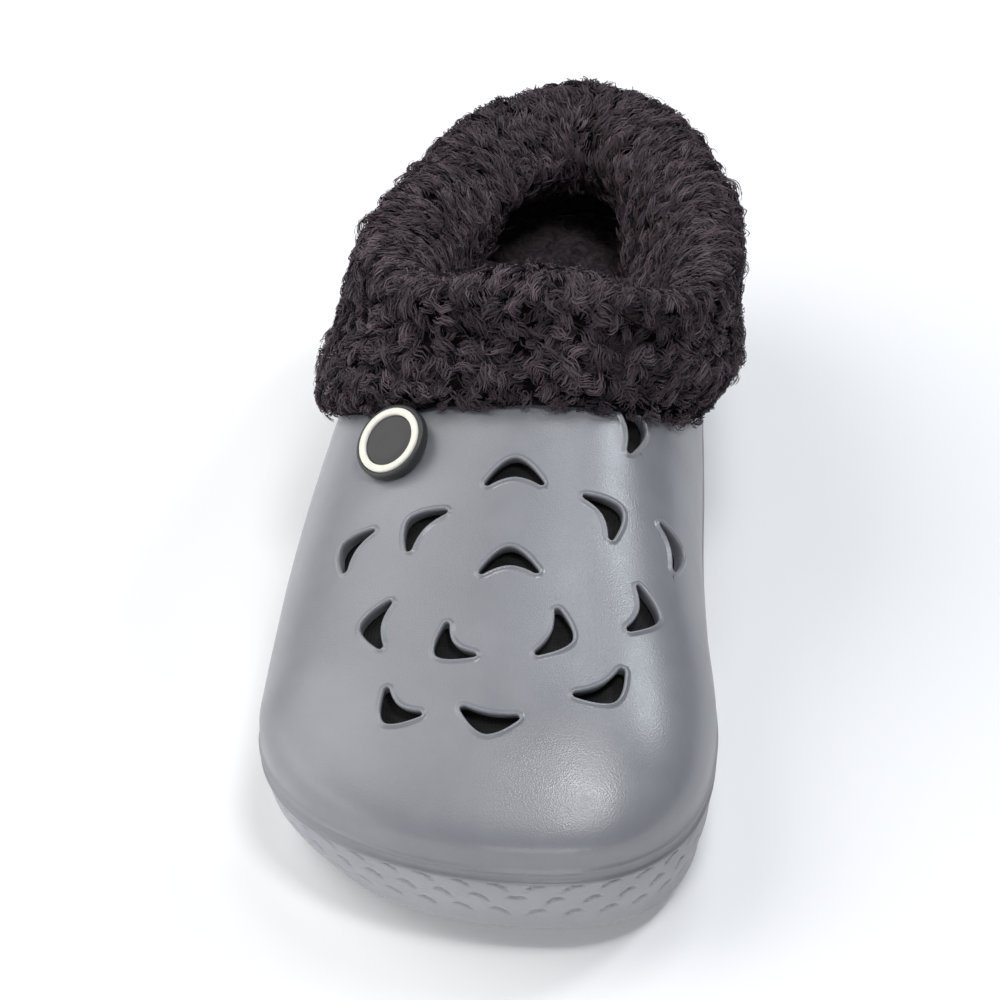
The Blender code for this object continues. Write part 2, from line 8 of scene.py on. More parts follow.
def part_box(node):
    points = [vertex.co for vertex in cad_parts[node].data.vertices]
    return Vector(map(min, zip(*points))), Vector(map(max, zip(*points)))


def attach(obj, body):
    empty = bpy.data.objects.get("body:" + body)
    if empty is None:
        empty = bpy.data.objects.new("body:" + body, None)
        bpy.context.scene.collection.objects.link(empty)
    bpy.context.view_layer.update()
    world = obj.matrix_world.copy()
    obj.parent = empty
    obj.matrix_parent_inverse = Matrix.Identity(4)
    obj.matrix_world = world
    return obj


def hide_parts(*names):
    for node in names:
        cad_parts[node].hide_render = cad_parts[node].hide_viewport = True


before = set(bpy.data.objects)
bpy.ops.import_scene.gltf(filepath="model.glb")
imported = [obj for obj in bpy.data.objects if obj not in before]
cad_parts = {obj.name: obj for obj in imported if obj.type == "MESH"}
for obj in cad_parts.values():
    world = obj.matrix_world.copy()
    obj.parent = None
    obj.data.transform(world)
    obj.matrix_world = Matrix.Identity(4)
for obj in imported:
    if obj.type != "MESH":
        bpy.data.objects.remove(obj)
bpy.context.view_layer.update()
print("frame loaded:", sorted(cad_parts))

mm = 0.001
dice = np.random.default_rng(11)

# the last in millimetres, station from toe tip to heel end
shoeLast = {
    "length": 268.0,
    "toeCentre": 50.0,
    "heelCentre": 230.0,
    "toePowerLateral": 2.0,
    "toePowerMedial": 2.6,
    "heelPower": 2.1,
    "upperStart": 8.0,  # widest line above the lip
    "sideShare": 0.7,  # part of the opening's edge before the heel
    "rowFall": 0.9,  # rows crowd towards the outline
    "columns": "station lateral medial spine crown lip tread footbed "
               "tuckLateral tuckMedial fullLateral fullMedial",
    "rows": [
        (0, 54.5, 57.5, 13.0, 46.0, 26.5, 8.0, 20.0, 5.5, 5.5, 2.3, 2.3),
        (25, 54.8, 57.5, 9.5, 54.5, 25.0, 3.2, 18.0, 11.5, 7.0, 2.2, 2.3),
        (50, 55.5, 57.3, 7.0, 61.0, 24.5, 0.0, 17.5, 9.5, 6.5, 2.1, 2.3),
        (85, 55.0, 52.5, 5.0, 71.0, 25.0, 0.0, 17.5, 7.5, 6.5, 2.0, 2.3),
        (115, 53.0, 48.8, 5.0, 81.5, 26.5, 1.2, 18.5, 7.0, 7.0, 2.0, 2.4),
        (145, 49.0, 46.6, 6.0, 93.0, 28.0, 4.5, 20.5, 7.0, 7.0, 2.1, 2.8),
        (175, 44.6, 44.0, 6.0, 98.0, 30.0, 2.0, 23.0, 7.0, 7.0, 2.4, 2.8),
        (205, 39.2, 41.5, 6.0, 94.0, 32.0, 0.0, 25.0, 7.0, 7.0, 2.4, 2.6),
        (235, 35.0, 39.5, 6.0, 88.0, 33.0, 0.0, 25.5, 7.0, 7.0, 2.4, 2.4),
        (268, 31.5, 37.5, 6.5, 84.0, 34.0, 3.0, 26.0, 8.0, 8.0, 2.4, 2.4),
    ],
    "collar": [(115, 92), (128, 86.5), (145, 79), (165, 70.5), (190, 63.5), (225, 59.5), (268, 58.5)],
    "gather": [(0.0, 0.0), (0.3, 0.11), (0.5, 0.22), (0.62, 0.33), (0.75, 0.5), (0.87, 0.74), (1.0, 1.0)],
}


def smoothThrough(places, values):
    places, values = np.array(places, float), np.array(values, float)
    steps = np.diff(places)
    rises = np.diff(values) / steps
    slopes = np.concatenate([rises[:1], np.zeros(len(places) - 2), rises[-1:]])
    for i in range(1, len(places) - 1):
        if rises[i - 1] * rises[i] > 0:
            slopes[i] = 2 * rises[i - 1] * rises[i] / (rises[i - 1] + rises[i])

    def at(place):
        place = np.clip(place, places[0], places[-1])
        i = np.clip(np.searchsorted(places, place) - 1, 0, len(steps) - 1)
        t = (place - places[i]) / steps[i]
        start = (1 + 2 * t) * (1 - t) ** 2 * values[i] + t * (1 - t) ** 2 * steps[i] * slopes[i]
        return start + t * t * (3 - 2 * t) * values[i + 1] + t * t * (t - 1) * steps[i] * slopes[i + 1]

    return at


lastColumns = dict(zip(shoeLast["columns"].split(), zip(*shoeLast["rows"])))
lastAt = {name: smoothThrough(lastColumns["station"], column) for name, column in lastColumns.items()}
collarAt = smoothThrough(*zip(*shoeLast["collar"]))
gatherAt = smoothThrough(*zip(*shoeLast["gather"]))


def halfWidth(side, station):
    lateral = lastAt["lateral"](station) + lastAt["spine"](station)
    return np.where(side < 0, lateral, lastAt["medial"](station) - lastAt["spine"](station))


def outlineShare(across, station):  # 0 on the crown line, 1 on the outline
    offset = across - lastAt["spine"](station)
    side = np.where(offset < 0, -1, 1)
    ratio = np.abs(offset) / halfWidth(side, station)
    toe = station < shoeLast["toeCentre"]
    toeEnd = (shoeLast["toeCentre"] - station) / shoeLast["toeCentre"]
    heelEnd = (station - shoeLast["heelCentre"]) / (shoeLast["length"] - shoeLast["heelCentre"])
    end = np.maximum(0, np.where(toe, toeEnd, heelEnd))
    toePower = np.where(side < 0, shoeLast["toePowerLateral"], shoeLast["toePowerMedial"])
    power = np.where(toe, toePower, shoeLast["heelPower"])
    return (ratio ** power + end ** power) ** (1 / power)


def sectionPower(across, station, share):
    offset = across - lastAt["spine"](station)
    side = np.where(offset < 0, -1, 1)
    lean = np.clip(np.abs(offset) / halfWidth(side, station) / np.maximum(share, 1e-6), 0, 1)
    lateral, medial = lastAt["fullLateral"](station), lastAt["fullMedial"](station)
    near, far = np.where(side < 0, lateral, medial), np.where(side < 0, medial, lateral)
    return near * (1 + lean) / 2 + far * (1 - lean) / 2


def surfaceHeight(across, station):
    base = lastAt["lip"](station) + shoeLast["upperStart"]
    share = np.minimum(1, outlineShare(across, station))
    power = sectionPower(across, station, share)
    return base + (lastAt["crown"](station) - base) * np.maximum(0, 1 - share ** power) ** (1 / power)


def runLengths(points):
    return np.concatenate([[0], np.cumsum(np.linalg.norm(np.diff(points, axis=0), axis=1))])


def spread(points, shares):
    lengths = runLengths(points)
    wanted = lengths[-1] * np.asarray(shares)
    return np.stack([np.interp(wanted, lengths, points[:, i]) for i in range(2)], axis=1)


def outlineSide(side):
    fall = 2 / (shoeLast["toePowerLateral"] if side < 0 else shoeLast["toePowerMedial"])
    turn = math.pi / 2 * (1 - np.arange(160) / 160)
    toe = shoeLast["toeCentre"] * (1 - np.sin(turn) ** fall)
    toeAcross = lastAt["spine"](toe) + side * halfWidth(side, toe) * np.abs(np.cos(turn)) ** fall
    along = np.linspace(shoeLast["toeCentre"], shoeLast["heelCentre"], 361)
    alongAcross = lastAt["spine"](along) + side * halfWidth(side, along)
    return np.stack([np.concatenate([toeAcross, alongAcross]), np.concatenate([toe, along])], axis=1)


def outlineHeel(side):
    turn = np.linspace(0, math.pi / 2, 161)
    room = shoeLast["length"] - shoeLast["heelCentre"]
    station = shoeLast["heelCentre"] + room * np.sin(turn) ** (2 / shoeLast["heelPower"])
    ratio = np.maximum(0, np.cos(turn)) ** (2 / shoeLast["heelPower"])
    return np.stack([lastAt["spine"](station) + side * halfWidth(side, station) * ratio, station], axis=1)


def onCollar(outer, middle):
    low, high = np.zeros(len(outer)), np.ones(len(outer))
    for _ in range(40):
        share = (low + high) / 2
        point = middle + (outer - middle) * share[:, None]
        inside = surfaceHeight(point[:, 0], point[:, 1]) > collarAt(point[:, 1])
        low, high = np.where(inside, share, low), np.where(inside, high, share)
    return middle + (outer - middle) * low[:, None]


def throatStation():
    low, high = shoeLast["collar"][0][0], shoeLast["collar"][2][0]
    for _ in range(40):
        middle = (low + high) / 2
        if lastAt["crown"](middle) < collarAt(middle):
            low = middle
        else:
            high = middle
    return high


def collarSide(side):
    throat = throatStation()
    station = throat + (shoeLast["heelCentre"] - throat) * np.linspace(0, 1, 241) ** 2
    middle = np.stack([lastAt["spine"](station), station], axis=1)
    outer = middle + np.stack([side * halfWidth(side, station), 0 * station], axis=1)
    return onCollar(outer, middle)


def ringNormals(ring):
    run = np.roll(ring, -1, axis=0) - np.roll(ring, 1, axis=0)
    normal = np.stack([-run[:, 1], run[:, 0]], axis=1)
    return normal / np.linalg.norm(normal, axis=1, keepdims=True)


def makeColumns(count):  # columns run from the outline up to the foot opening: toe, lateral, heel, medial
    heel = count * 8 // 72
    side = count // 2 - heel
    evenSide, evenHeel = np.linspace(0, 1, side + 1), np.linspace(0, 1, heel + 1)
    middle = np.array([[float(lastAt["spine"](shoeLast["heelCentre"])), shoeLast["heelCentre"]]])
    outlines, openings = [], []
    for hand in (-1, 1):
        heelPart = spread(outlineHeel(hand), evenHeel)
        outlines.append(np.concatenate([spread(outlineSide(hand), evenSide)[:-1], heelPart]))
        openPart = spread(collarSide(hand), gatherAt(evenSide))[:-1]
        openings.append(np.concatenate([openPart, onCollar(heelPart, np.repeat(middle, heel + 1, axis=0))]))
    outline = np.concatenate([outlines[0], outlines[1][-2:0:-1]])
    opening = np.concatenate([openings[0], openings[1][-2:0:-1]])
    sideShare = shoeLast["sideShare"]
    half = np.concatenate([sideShare * gatherAt(evenSide), sideShare + (1 - sideShare) * evenHeel[1:]])
    share = np.minimum(1, outlineShare(opening[:, 0], opening[:, 1]))
    fall = shoeLast["rowFall"]
    return {
        "count": count,
        "outline": outline,
        "opening": opening,
        "outlineNormal": ringNormals(outline),
        "openingNormal": ringNormals(opening),
        "share": np.concatenate([half, half[-2:0:-1]]),
        "lateral": np.arange(count) < count // 2,
        "arc": np.arccos(share ** (1 / fall)),
    }


def columnPoint(columns, k, t):
    start, end = columns["outline"][k], columns["opening"][k]
    arc, fall = columns["arc"][k], shoeLast["rowFall"]
    along = (1 - np.cos(arc * t) ** fall) / (1 - np.maximum(0, np.cos(arc)) ** fall)
    plan = start + (end - start) * along[..., None]
    return np.concatenate([plan, surfaceHeight(plan[..., 0], plan[..., 1])[..., None]], axis=-1)


def unit(vectors):
    return vectors / np.maximum(1e-9, np.linalg.norm(vectors, axis=-1, keepdims=True))


def inset(columns, depth):  # the outline drawn in
    return columns["outline"] - columns["outlineNormal"] * depth


def raised(plan, height):
    return np.concatenate([plan, height[:, None]], axis=1)


def throughFour(p, f):  # smooth path from the second to the third of four points
    return 0.5 * (2 * p[1] + (p[2] - p[0]) * f + (2 * p[0] - 5 * p[1] + 4 * p[2] - p[3]) * f ** 2
                  + (3 * p[1] - p[0] - 3 * p[2] + p[3]) * f ** 3)


def fillAcross(edge, count):  # rows from the lateral half of a ring to the medial half
    half = len(edge) // 2
    lateral, medial = edge[: half + 1], np.concatenate([edge[:1], edge[:half - 1:-1]])
    across = np.linspace(0, 1, count)[:, None, None]
    return lateral * (1 - across) + medial * across, across[..., 0]


def insideAt(height):  # points along the shoe's middle that its skins face away from
    return lambda p: Vector((0.003, p.y * 0.8, height))


def surfaceRow(columns, t, depth):  # a ring under the outer surface, or over it with a negative depth
    n = columns["count"]
    k, t, step = np.arange(n), np.broadcast_to(t, n), n // 72
    point = columnPoint(columns, k, t)
    around = columnPoint(columns, (k + step) % n, t) - columnPoint(columns, (k - step) % n, t)
    up = columnPoint(columns, k, np.minimum(1, t + 0.02)) - columnPoint(columns, k, np.maximum(0, t - 0.02))
    return point - unit(np.cross(up, around)) * np.broadcast_to(depth, n)[:, None]


upperColumns = makeColumns(432)
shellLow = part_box("moulded_upper_and_sole")[0]
shift = np.array([shellLow[0] / mm - upperColumns["outline"][:, 0].min(), shellLow[1] / mm, 0.0])
print("last ready, shift", np.round(shift, 2))


def toFrame(points):  # millimetres on the last to metres in the frame
    return (np.asarray(points) + shift) * mm


def gridFrom(rows, closed):
    count, n = rows.shape[:2]
    across = n if closed else n - 1
    bm = bmesh.new()
    uvLayer = bm.loops.layers.uv.new("UVMap")
    bmesh.ops.create_grid(bm, x_segments=across, y_segments=count - 1, size=0.5)
    flat = np.array([v.co[:2] for v in bm.verts]) + 0.5
    for face in bm.faces:
        for corner in face.loops:
            corner[uvLayer].uv = (corner.vert.co.x + 0.5, corner.vert.co.y + 0.5)
    column = np.rint(flat[:, 0] * across).astype(int) % n
    row = np.rint(flat[:, 1] * (count - 1)).astype(int)
    for vert, place in zip(bm.verts, toFrame(rows[row, column])):
        vert.co = place
    if closed:
        bmesh.ops.remove_doubles(bm, verts=bm.verts[:], dist=1e-7)
    return bm


def settle(bm, name, material, slot, nodes, core=None):  # object at the origin, facing out from core
    bm.normal_update()
    if core is not None:
        facing = sum(f.normal.dot(f.calc_center_median() - core(f.calc_center_median())) for f in bm.faces)
        if facing < 0:
            bmesh.ops.reverse_faces(bm, faces=bm.faces[:])
    mesh = bpy.data.meshes.new(name)
    bm.to_mesh(mesh)
    bm.free()
    mesh.polygons.foreach_set("use_smooth", [True] * len(mesh.polygons))
    return place(mesh, name, material, slot, nodes)


def addObject(name, data):
    made = bpy.data.objects.new(name, data)
    bpy.context.scene.collection.objects.link(made)
    return made


def place(mesh, name, material, slot, nodes):
    piece = addObject(name, mesh)
    mesh.materials.append(material)
    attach(piece, "root")
    if nodes:
        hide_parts(*nodes)
    return piece


def settleFoam(bm, name, finish, core):
    return settle(bm, name, finish, "grey_blue_foam", ["moulded_upper_and_sole"], core)


# shared finish groups


def newGroup(name, inputs, outputs):
    group = bpy.data.node_groups.new(name, "ShaderNodeTree")
    for label, kind, value in inputs:
        socket = group.interface.new_socket(name=label, in_out="INPUT", socket_type=kind)
        if value is not None:
            socket.default_value = value
    for label, kind in outputs:
        group.interface.new_socket(name=label, in_out="OUTPUT", socket_type=kind)
    return group, group.nodes.new("NodeGroupInput"), group.nodes.new("NodeGroupOutput")


def setInputs(node, values):
    for key, value in values.items():
        node.inputs[key].default_value = value


def addNode(tree, kind, values=None, **settings):
    node = tree.nodes.new(kind)
    for key, value in settings.items():
        setattr(node, key, value)
    setInputs(node, values or {})
    return node


def addTexture(tree, vector, kind, values, **settings):
    node = addNode(tree, "ShaderNodeTex" + kind, values, **settings)
    tree.links.new(vector, node.inputs["Vector"])
    return node


def mathNode(tree, operation, a, b=None, c=None):
    node = addNode(tree, "ShaderNodeMath", operation=operation)
    for i, value in enumerate((a, b, c)):
        if value is None:
            continue
        if isinstance(value, (int, float)):
            node.inputs[i].default_value = value
        else:
            tree.links.new(value, node.inputs[i])
    return node.outputs[0]


def makeFoamGrain():  # embossed cells with a little drift in tone and gloss
    group, given, made = newGroup(
        "foamGrain",
        [("Vector", "NodeSocketVector", None), ("Cells", "NodeSocketFloat", 900.0)],
        [("Height", "NodeSocketFloat"), ("Tone", "NodeSocketFloat"), ("Gloss", "NodeSocketFloat")],
    )
    at = given.outputs["Vector"]
    drift = addTexture(group, at, "Noise", {"Scale": 260.0, "Detail": 2.0})
    bend = addNode(group, "ShaderNodeVectorMath", {1: (0.0006, 0.0006, 0.0006)}, operation="MULTIPLY_ADD")
    group.links.new(drift.outputs["Color"], bend.inputs[0])
    group.links.new(at, bend.inputs[2])
    cells = addTexture(group, bend.outputs[0], "Voronoi", {"Smoothness": 0.35}, feature="SMOOTH_F1")
    group.links.new(given.outputs["Cells"], cells.inputs["Scale"])
    fine = addTexture(group, at, "Noise", {"Scale": 2600.0, "Detail": 2.0})
    height = mathNode(group, "MULTIPLY_ADD", fine.outputs[0], 0.35, cells.outputs["Distance"])
    group.links.new(height, made.inputs["Height"])
    broad = addTexture(group, at, "Noise", {"Scale": 38.0, "Detail": 4.0, "Roughness": 0.6})
    group.links.new(broad.outputs[0], made.inputs["Tone"])
    patch = addTexture(group, at, "Noise", {"Scale": 150.0, "Detail": 3.0})
    group.links.new(patch.outputs[0], made.inputs["Gloss"])
    return group


foamGrain = makeFoamGrain()


def newMaterial(name):
    made = bpy.data.materials.new(name)
    made.use_nodes = True
    return made, made.node_tree, made.node_tree.nodes["Principled BSDF"]


def paint(tree, shader, share, dark, light):  # base colour between dark and light
    mix = addNode(tree, "ShaderNodeMix", {6: (*dark, 1), 7: (*light, 1)}, data_type="RGBA")
    tree.links.new(share, mix.inputs[0])
    tree.links.new(mix.outputs[2], shader.inputs["Base Color"])


def rangeNode(tree, value, fromLow, fromHigh, toLow, toHigh):
    node = addNode(tree, "ShaderNodeMapRange", {1: fromLow, 2: fromHigh, 3: toLow, 4: toHigh})
    tree.links.new(value, node.inputs[0])
    return node.outputs[0]


def addBump(tree, shader, height, strength, distance):
    bump = addNode(tree, "ShaderNodeBump", {"Strength": strength, "Distance": distance})
    tree.links.new(height, bump.inputs["Height"])
    tree.links.new(bump.outputs[0], shader.inputs["Normal"])


upperFinish = {
    "dark": (0.203, 0.207, 0.228), "light": (0.231, 0.235, 0.257), "rough": (0.3, 0.37), "gloss": 0.8,
    "cells": 2300.0, "depth": 0.00006,
}
# the sole is the same grey EVA as the upper and its matte hatch is its own; its base colour is painted
# lighter, painted light on the sole wall
soleFinishPaintedLight = {
    "dark": (0.345, 0.348, 0.37), "light": (0.395, 0.398, 0.42), "rough": (0.52, 0.62), "gloss": 0.5,
    "cells": 2300.0, "depth": 0.00012, "hatchTurns": 900, "hatchRise": 34, "hatchShare": 0.45,
}


def makeFoam(name, finish):
    made, tree, shader = newMaterial(name)
    coord = addNode(tree, "ShaderNodeTexCoord")
    grain = addNode(tree, "ShaderNodeGroup", {"Cells": finish["cells"]}, node_tree=foamGrain)
    tree.links.new(coord.outputs["Object"], grain.inputs["Vector"])
    tone = rangeNode(tree, grain.outputs["Tone"], 0.35, 0.65, 0.0, 1.0)
    paint(tree, shader, tone, finish["dark"], finish["light"])
    setInputs(shader, {"Specular IOR Level": finish["gloss"]})
    rough = rangeNode(tree, grain.outputs["Gloss"], 0.3, 0.7, *finish["rough"])
    tree.links.new(rough, shader.inputs["Roughness"])
    height = grain.outputs["Height"]
    if "hatchTurns" in finish:
        parts = addNode(tree, "ShaderNodeSeparateXYZ")
        tree.links.new(coord.outputs["UV"], parts.inputs[0])
        turns = mathNode(tree, "MULTIPLY", parts.outputs[0], 2 * math.pi * finish["hatchTurns"])
        slant = mathNode(tree, "MULTIPLY_ADD", parts.outputs[1], 2 * math.pi * finish["hatchRise"], turns)
        line = mathNode(tree, "SINE", slant)
        height = mathNode(tree, "MULTIPLY_ADD", line, finish["hatchShare"], height)
    addBump(tree, shader, height, 0.6, finish["depth"])
    return made


upperFoam = makeFoam("upperFoam", upperFinish)
soleFoamPaintedLight = makeFoam("soleFoamPaintedLight", soleFinishPaintedLight)
print("foam finishes ready")

# upper: vents with raised rims, and the lip over the sole's groove
upperPiece = {
    "rows": 74,
    "joint": [  # rise over the lip and inset from the outline, going up
        (-0.9, 0.1), (-0.6, -0.1), (-0.25, -0.08), (0.0, 0.14), (0.3, 0.4), (0.9, 0.58), (1.6, 0.6),
        (2.2, 0.48), (2.65, 0.25), (2.95, -0.05), (3.2, -0.32), (3.5, -0.42), (3.8, -0.3), (4.2, 0.02),
        (4.9, 0.14), (6.2, 0.1),
    ],
    "vents": [  # across, station, turn, span and sweep
        (4, 96, -3, 15, 7.5), (31, 116, 72, 15, 6.5), (-18, 83, -52, 15, 6.5), (27, 89, 55, 14.5, 7),
        (5, 71, -4, 15, 7.5), (-35, 81.5, -58, 14, 6.5), (43.5, 90, 62, 14, 6.5), (-26, 55.5, -86, 15, 6.5),
        (-6.5, 48, -130, 13, 7.5), (18, 52, 106, 15, 6.5), (38, 64.5, 95, 15.5, 7),
        (-18.5, 31.5, -142, 12.5, 7), (4, 28, -172, 15, 5.5), (31, 39, 140, 15.5, 6.5),
    ],
    "ventBand": 5.2,
    "cut": 1.1,  # the skin is cut this far outside the vent's edge
    "reach": 9.0,  # and only this near to the vent's seat
    "edge": [(0.997, 1.0), (0.985, 2.2), (0.95, 3.4)],  # turned in at the top: share up the wall and depth
    "rim": [  # distance out from the vent's edge and height over the surface
        (1.9, -0.08), (1.6, 0.02), (1.3, 0.12), (1.05, 0.3), (0.82, 0.46), (0.6, 0.5), (0.4, 0.42),
        (0.22, 0.18), (0.12, -0.2), (0.35, -1.2), (0.95, -3.4),
    ],
}


def surfaceNormal(across, station):
    step = 0.4
    slopeX = (surfaceHeight(across + step, station) - surfaceHeight(across - step, station)) / (2 * step)
    slopeY = (surfaceHeight(across, station + step) - surfaceHeight(across, station - step)) / (2 * step)
    return unit(np.stack([-slopeX, -slopeY, 1 + 0 * slopeX], axis=-1))


def seatFrame(across, station):
    across, station = np.array(float(across)), np.array(float(station))
    out = surfaceNormal(across, station)
    slope = float(surfaceHeight(across, station + 0.5) - surfaceHeight(across, station - 0.5))
    up = np.array([0.0, 1.0, slope])
    up = unit(up - out * up.dot(out))
    centre = np.array([float(across), float(station), float(surfaceHeight(across, station))])
    return centre, np.cross(up, out), up, out


def crescent(span, sweep, count):  # closed outline with its back to +Y and rounded tips
    half, apex, band = span / 2, 0.68 * sweep, upperPiece["ventBand"]
    x = np.linspace(-half, half, 60)
    back = np.stack([x, apex - sweep * np.abs(x / half) ** 1.7], axis=1)
    x = np.linspace(half * 0.9, -half * 0.9, 60)
    belly = np.stack([x, apex - band - (sweep - band + 0.9) * np.abs(x / half) ** 1.8], axis=1)
    loop = np.concatenate([back, belly, back[:1]])
    points = spread(loop, np.linspace(0, 1, 241))[:-1]
    for _ in range(14):  # soft tips
        points = (np.roll(points, 1, axis=0) + 2 * points + np.roll(points, -1, axis=0)) / 4
    points = spread(np.concatenate([points, points[:1]]), np.linspace(0, 1, count + 1))[:-1]
    run = np.roll(points, -1, axis=0) - np.roll(points, 1, axis=0)
    return points, unit(np.stack([-run[:, 1], run[:, 0]], axis=1))


def insideLoop(points, loop):
    inside = np.zeros(len(points), bool)
    for (ax, ay), (bx, by) in zip(loop, np.roll(loop, -1, axis=0)):
        crosses = (ay > points[:, 1]) != (by > points[:, 1])
        inside ^= crosses & (points[:, 0] < (bx - ax) * (points[:, 1] - ay) / (by - ay + 1e-12) + ax)
    return inside


def ventLoops(vent, count):
    across, station, turn, span, sweep = vent
    centre, axisX, axisY, out = seatFrame(across, station)
    angle = math.radians(-turn)
    turnedX = math.cos(angle) * axisX + math.sin(angle) * axisY
    turnedY = -math.sin(angle) * axisX + math.cos(angle) * axisY
    points, outward = crescent(span, sweep, count)
    return centre, turnedX, turnedY, out, points, outward


def ontoSeat(loops, points):  # points in the vent's plane, and which of them lie near its seat
    centre, axisX, axisY, out = loops[:4]
    away = points - centre
    return np.stack([away @ axisX, away @ axisY], axis=1), np.abs(away @ out) < upperPiece["reach"]


def ontoSurface(loops, flat):  # slide along the seat's normal on to the surface
    centre, axisX, axisY, out = loops[:4]
    spot = centre + flat[:, :1] * axisX + flat[:, 1:] * axisY
    for _ in range(12):
        miss = spot[:, 2] - surfaceHeight(spot[:, 0], spot[:, 1])
        spot = spot - out * (miss * out[2])[:, None]
    return spot


def buildUpper():
    columns = upperColumns
    lip = lastAt["lip"](columns["outline"][:, 1])
    rows = []
    for rise, depth in upperPiece["joint"]:
        rows.append(raised(inset(columns, depth), lip + rise))
    for t in np.linspace(0, 1, upperPiece["rows"]):
        rows.append(surfaceRow(columns, t, 0.0))
    for t, depth in upperPiece["edge"]:
        rows.append(surfaceRow(columns, t, depth))
    bm = gridFrom(np.array(rows), True)
    bm.faces.ensure_lookup_table()
    middles = np.array([f.calc_center_median()[:] for f in bm.faces]) / mm - shift
    gone = np.zeros(len(middles), bool)
    rimGrids = []
    for vent in upperPiece["vents"]:
        loops = ventLoops(vent, 72)
        out, points, outward = loops[3:]
        local, near = ontoSeat(loops, middles)
        gone |= insideLoop(local, points + outward * upperPiece["cut"]) & near
        ring = []
        for reach, rise in upperPiece["rim"]:
            spot = ontoSurface(loops, points + outward * reach)
            ring.append(spot + unit(surfaceNormal(spot[:, 0], spot[:, 1]) + out) * rise)
        rimGrids.append(np.array(ring))
    bmesh.ops.delete(bm, geom=[f for f, hole in zip(bm.faces, gone) if hole], context="FACES")
    border = [v for v in bm.verts if v.is_boundary]
    places = np.array([v.co[:] for v in border]) / mm - shift
    for vent in upperPiece["vents"]:  # draw the cut edge on to the vent's line, under its rim
        loops = ventLoops(vent, 288)
        points, outward = loops[4:]
        local, near = ontoSeat(loops, places)
        line = points + outward * upperPiece["cut"]
        gaps = np.linalg.norm(local[:, None] - line[None], axis=2)
        for i in np.nonzero((gaps.min(axis=1) < 3) & near)[0]:
            border[i].co = toFrame(ontoSurface(loops, line[gaps[i].argmin()][None]))[0]
    upper = settleFoam(bm, "foamUpper", upperFoam, insideAt(0.03))
    for i, ring in enumerate(rimGrids):
        rim = gridFrom(ring, True)
        middle = Vector(toFrame(ring[0].mean(axis=0)))
        low = Vector(toFrame(ring[-1].mean(axis=0)))
        settleFoam(rim, f"ventRim{i + 1:02d}", upperFoam, lambda p, a=middle, b=low: a + (a - b) * -0.4)
    print("upper:", len(upper.data.polygons), "faces,", len(rimGrids), "vents")


buildUpper()

# sole: wall with crescent nicks, tread edge and grooved underside
solePiece = {
    "columns": 864,
    "rings": [  # share of the height from tread to lip, rise, inset, share of the tuck
        (0.0, 0.0, 0.0, 1.0), (0.0, 0.5, -1.3, 1.0), (0.0, 1.3, -2.2, 1.0), (0.3, 0.0, 0.0, 0.5),
        (0.56, 0.0, 0.0, 0.24), (0.82, 0.0, 0.4, 0.06), (0.93, 0.0, 0.25, 0.02), (1.0, -1.3, 0.12, 0.0),
        (1.0, -0.9, 0.1, 0.0),
    ],
    "rowsEach": [3, 3, 12, 12, 12, 10, 4, 2],  # steps from ring to ring
    "nickCount": 70,
    "nickRows": [0.87, 0.62, 0.36],  # share of the wall's height
    "nickDepth": 1.2,
    "nickSharp": 0.22,  # fall of the nick over its arc, and the longer fall under it
    "nickSoft": 0.6,
    "nickBow": 4.6,
    "nickLift": 1.5,
    "nickReach": 2.7,  # half its length, and the part that fades out
    "nickFade": 1.2,
    "grooves": [56, 68, 80, 92, 202, 216, 230, 244],
    "grooveWidth": 4.0,
    "grooveDepth": 1.8,
    "treadRows": 25,
}


def soleRow(columns, share, rise, depth, tuck):
    station = columns["outline"][:, 1]
    tread, lip = lastAt["tread"](station), lastAt["lip"](station)
    tucked = np.where(columns["lateral"], lastAt["tuckLateral"](station), lastAt["tuckMedial"](station))
    return raised(inset(columns, (depth + tuck * tucked)[:, None]), tread + share * (lip - tread) + rise)


def catmull(profile, w):  # smooth path through the rings at float index w
    j = np.clip(np.floor(w).astype(int), 0, len(profile) - 2)
    p = [profile[np.clip(j + d, 0, len(profile) - 1)] for d in (-1, 0, 1, 2)]
    return throughFour(p, (w - j)[:, None, None])


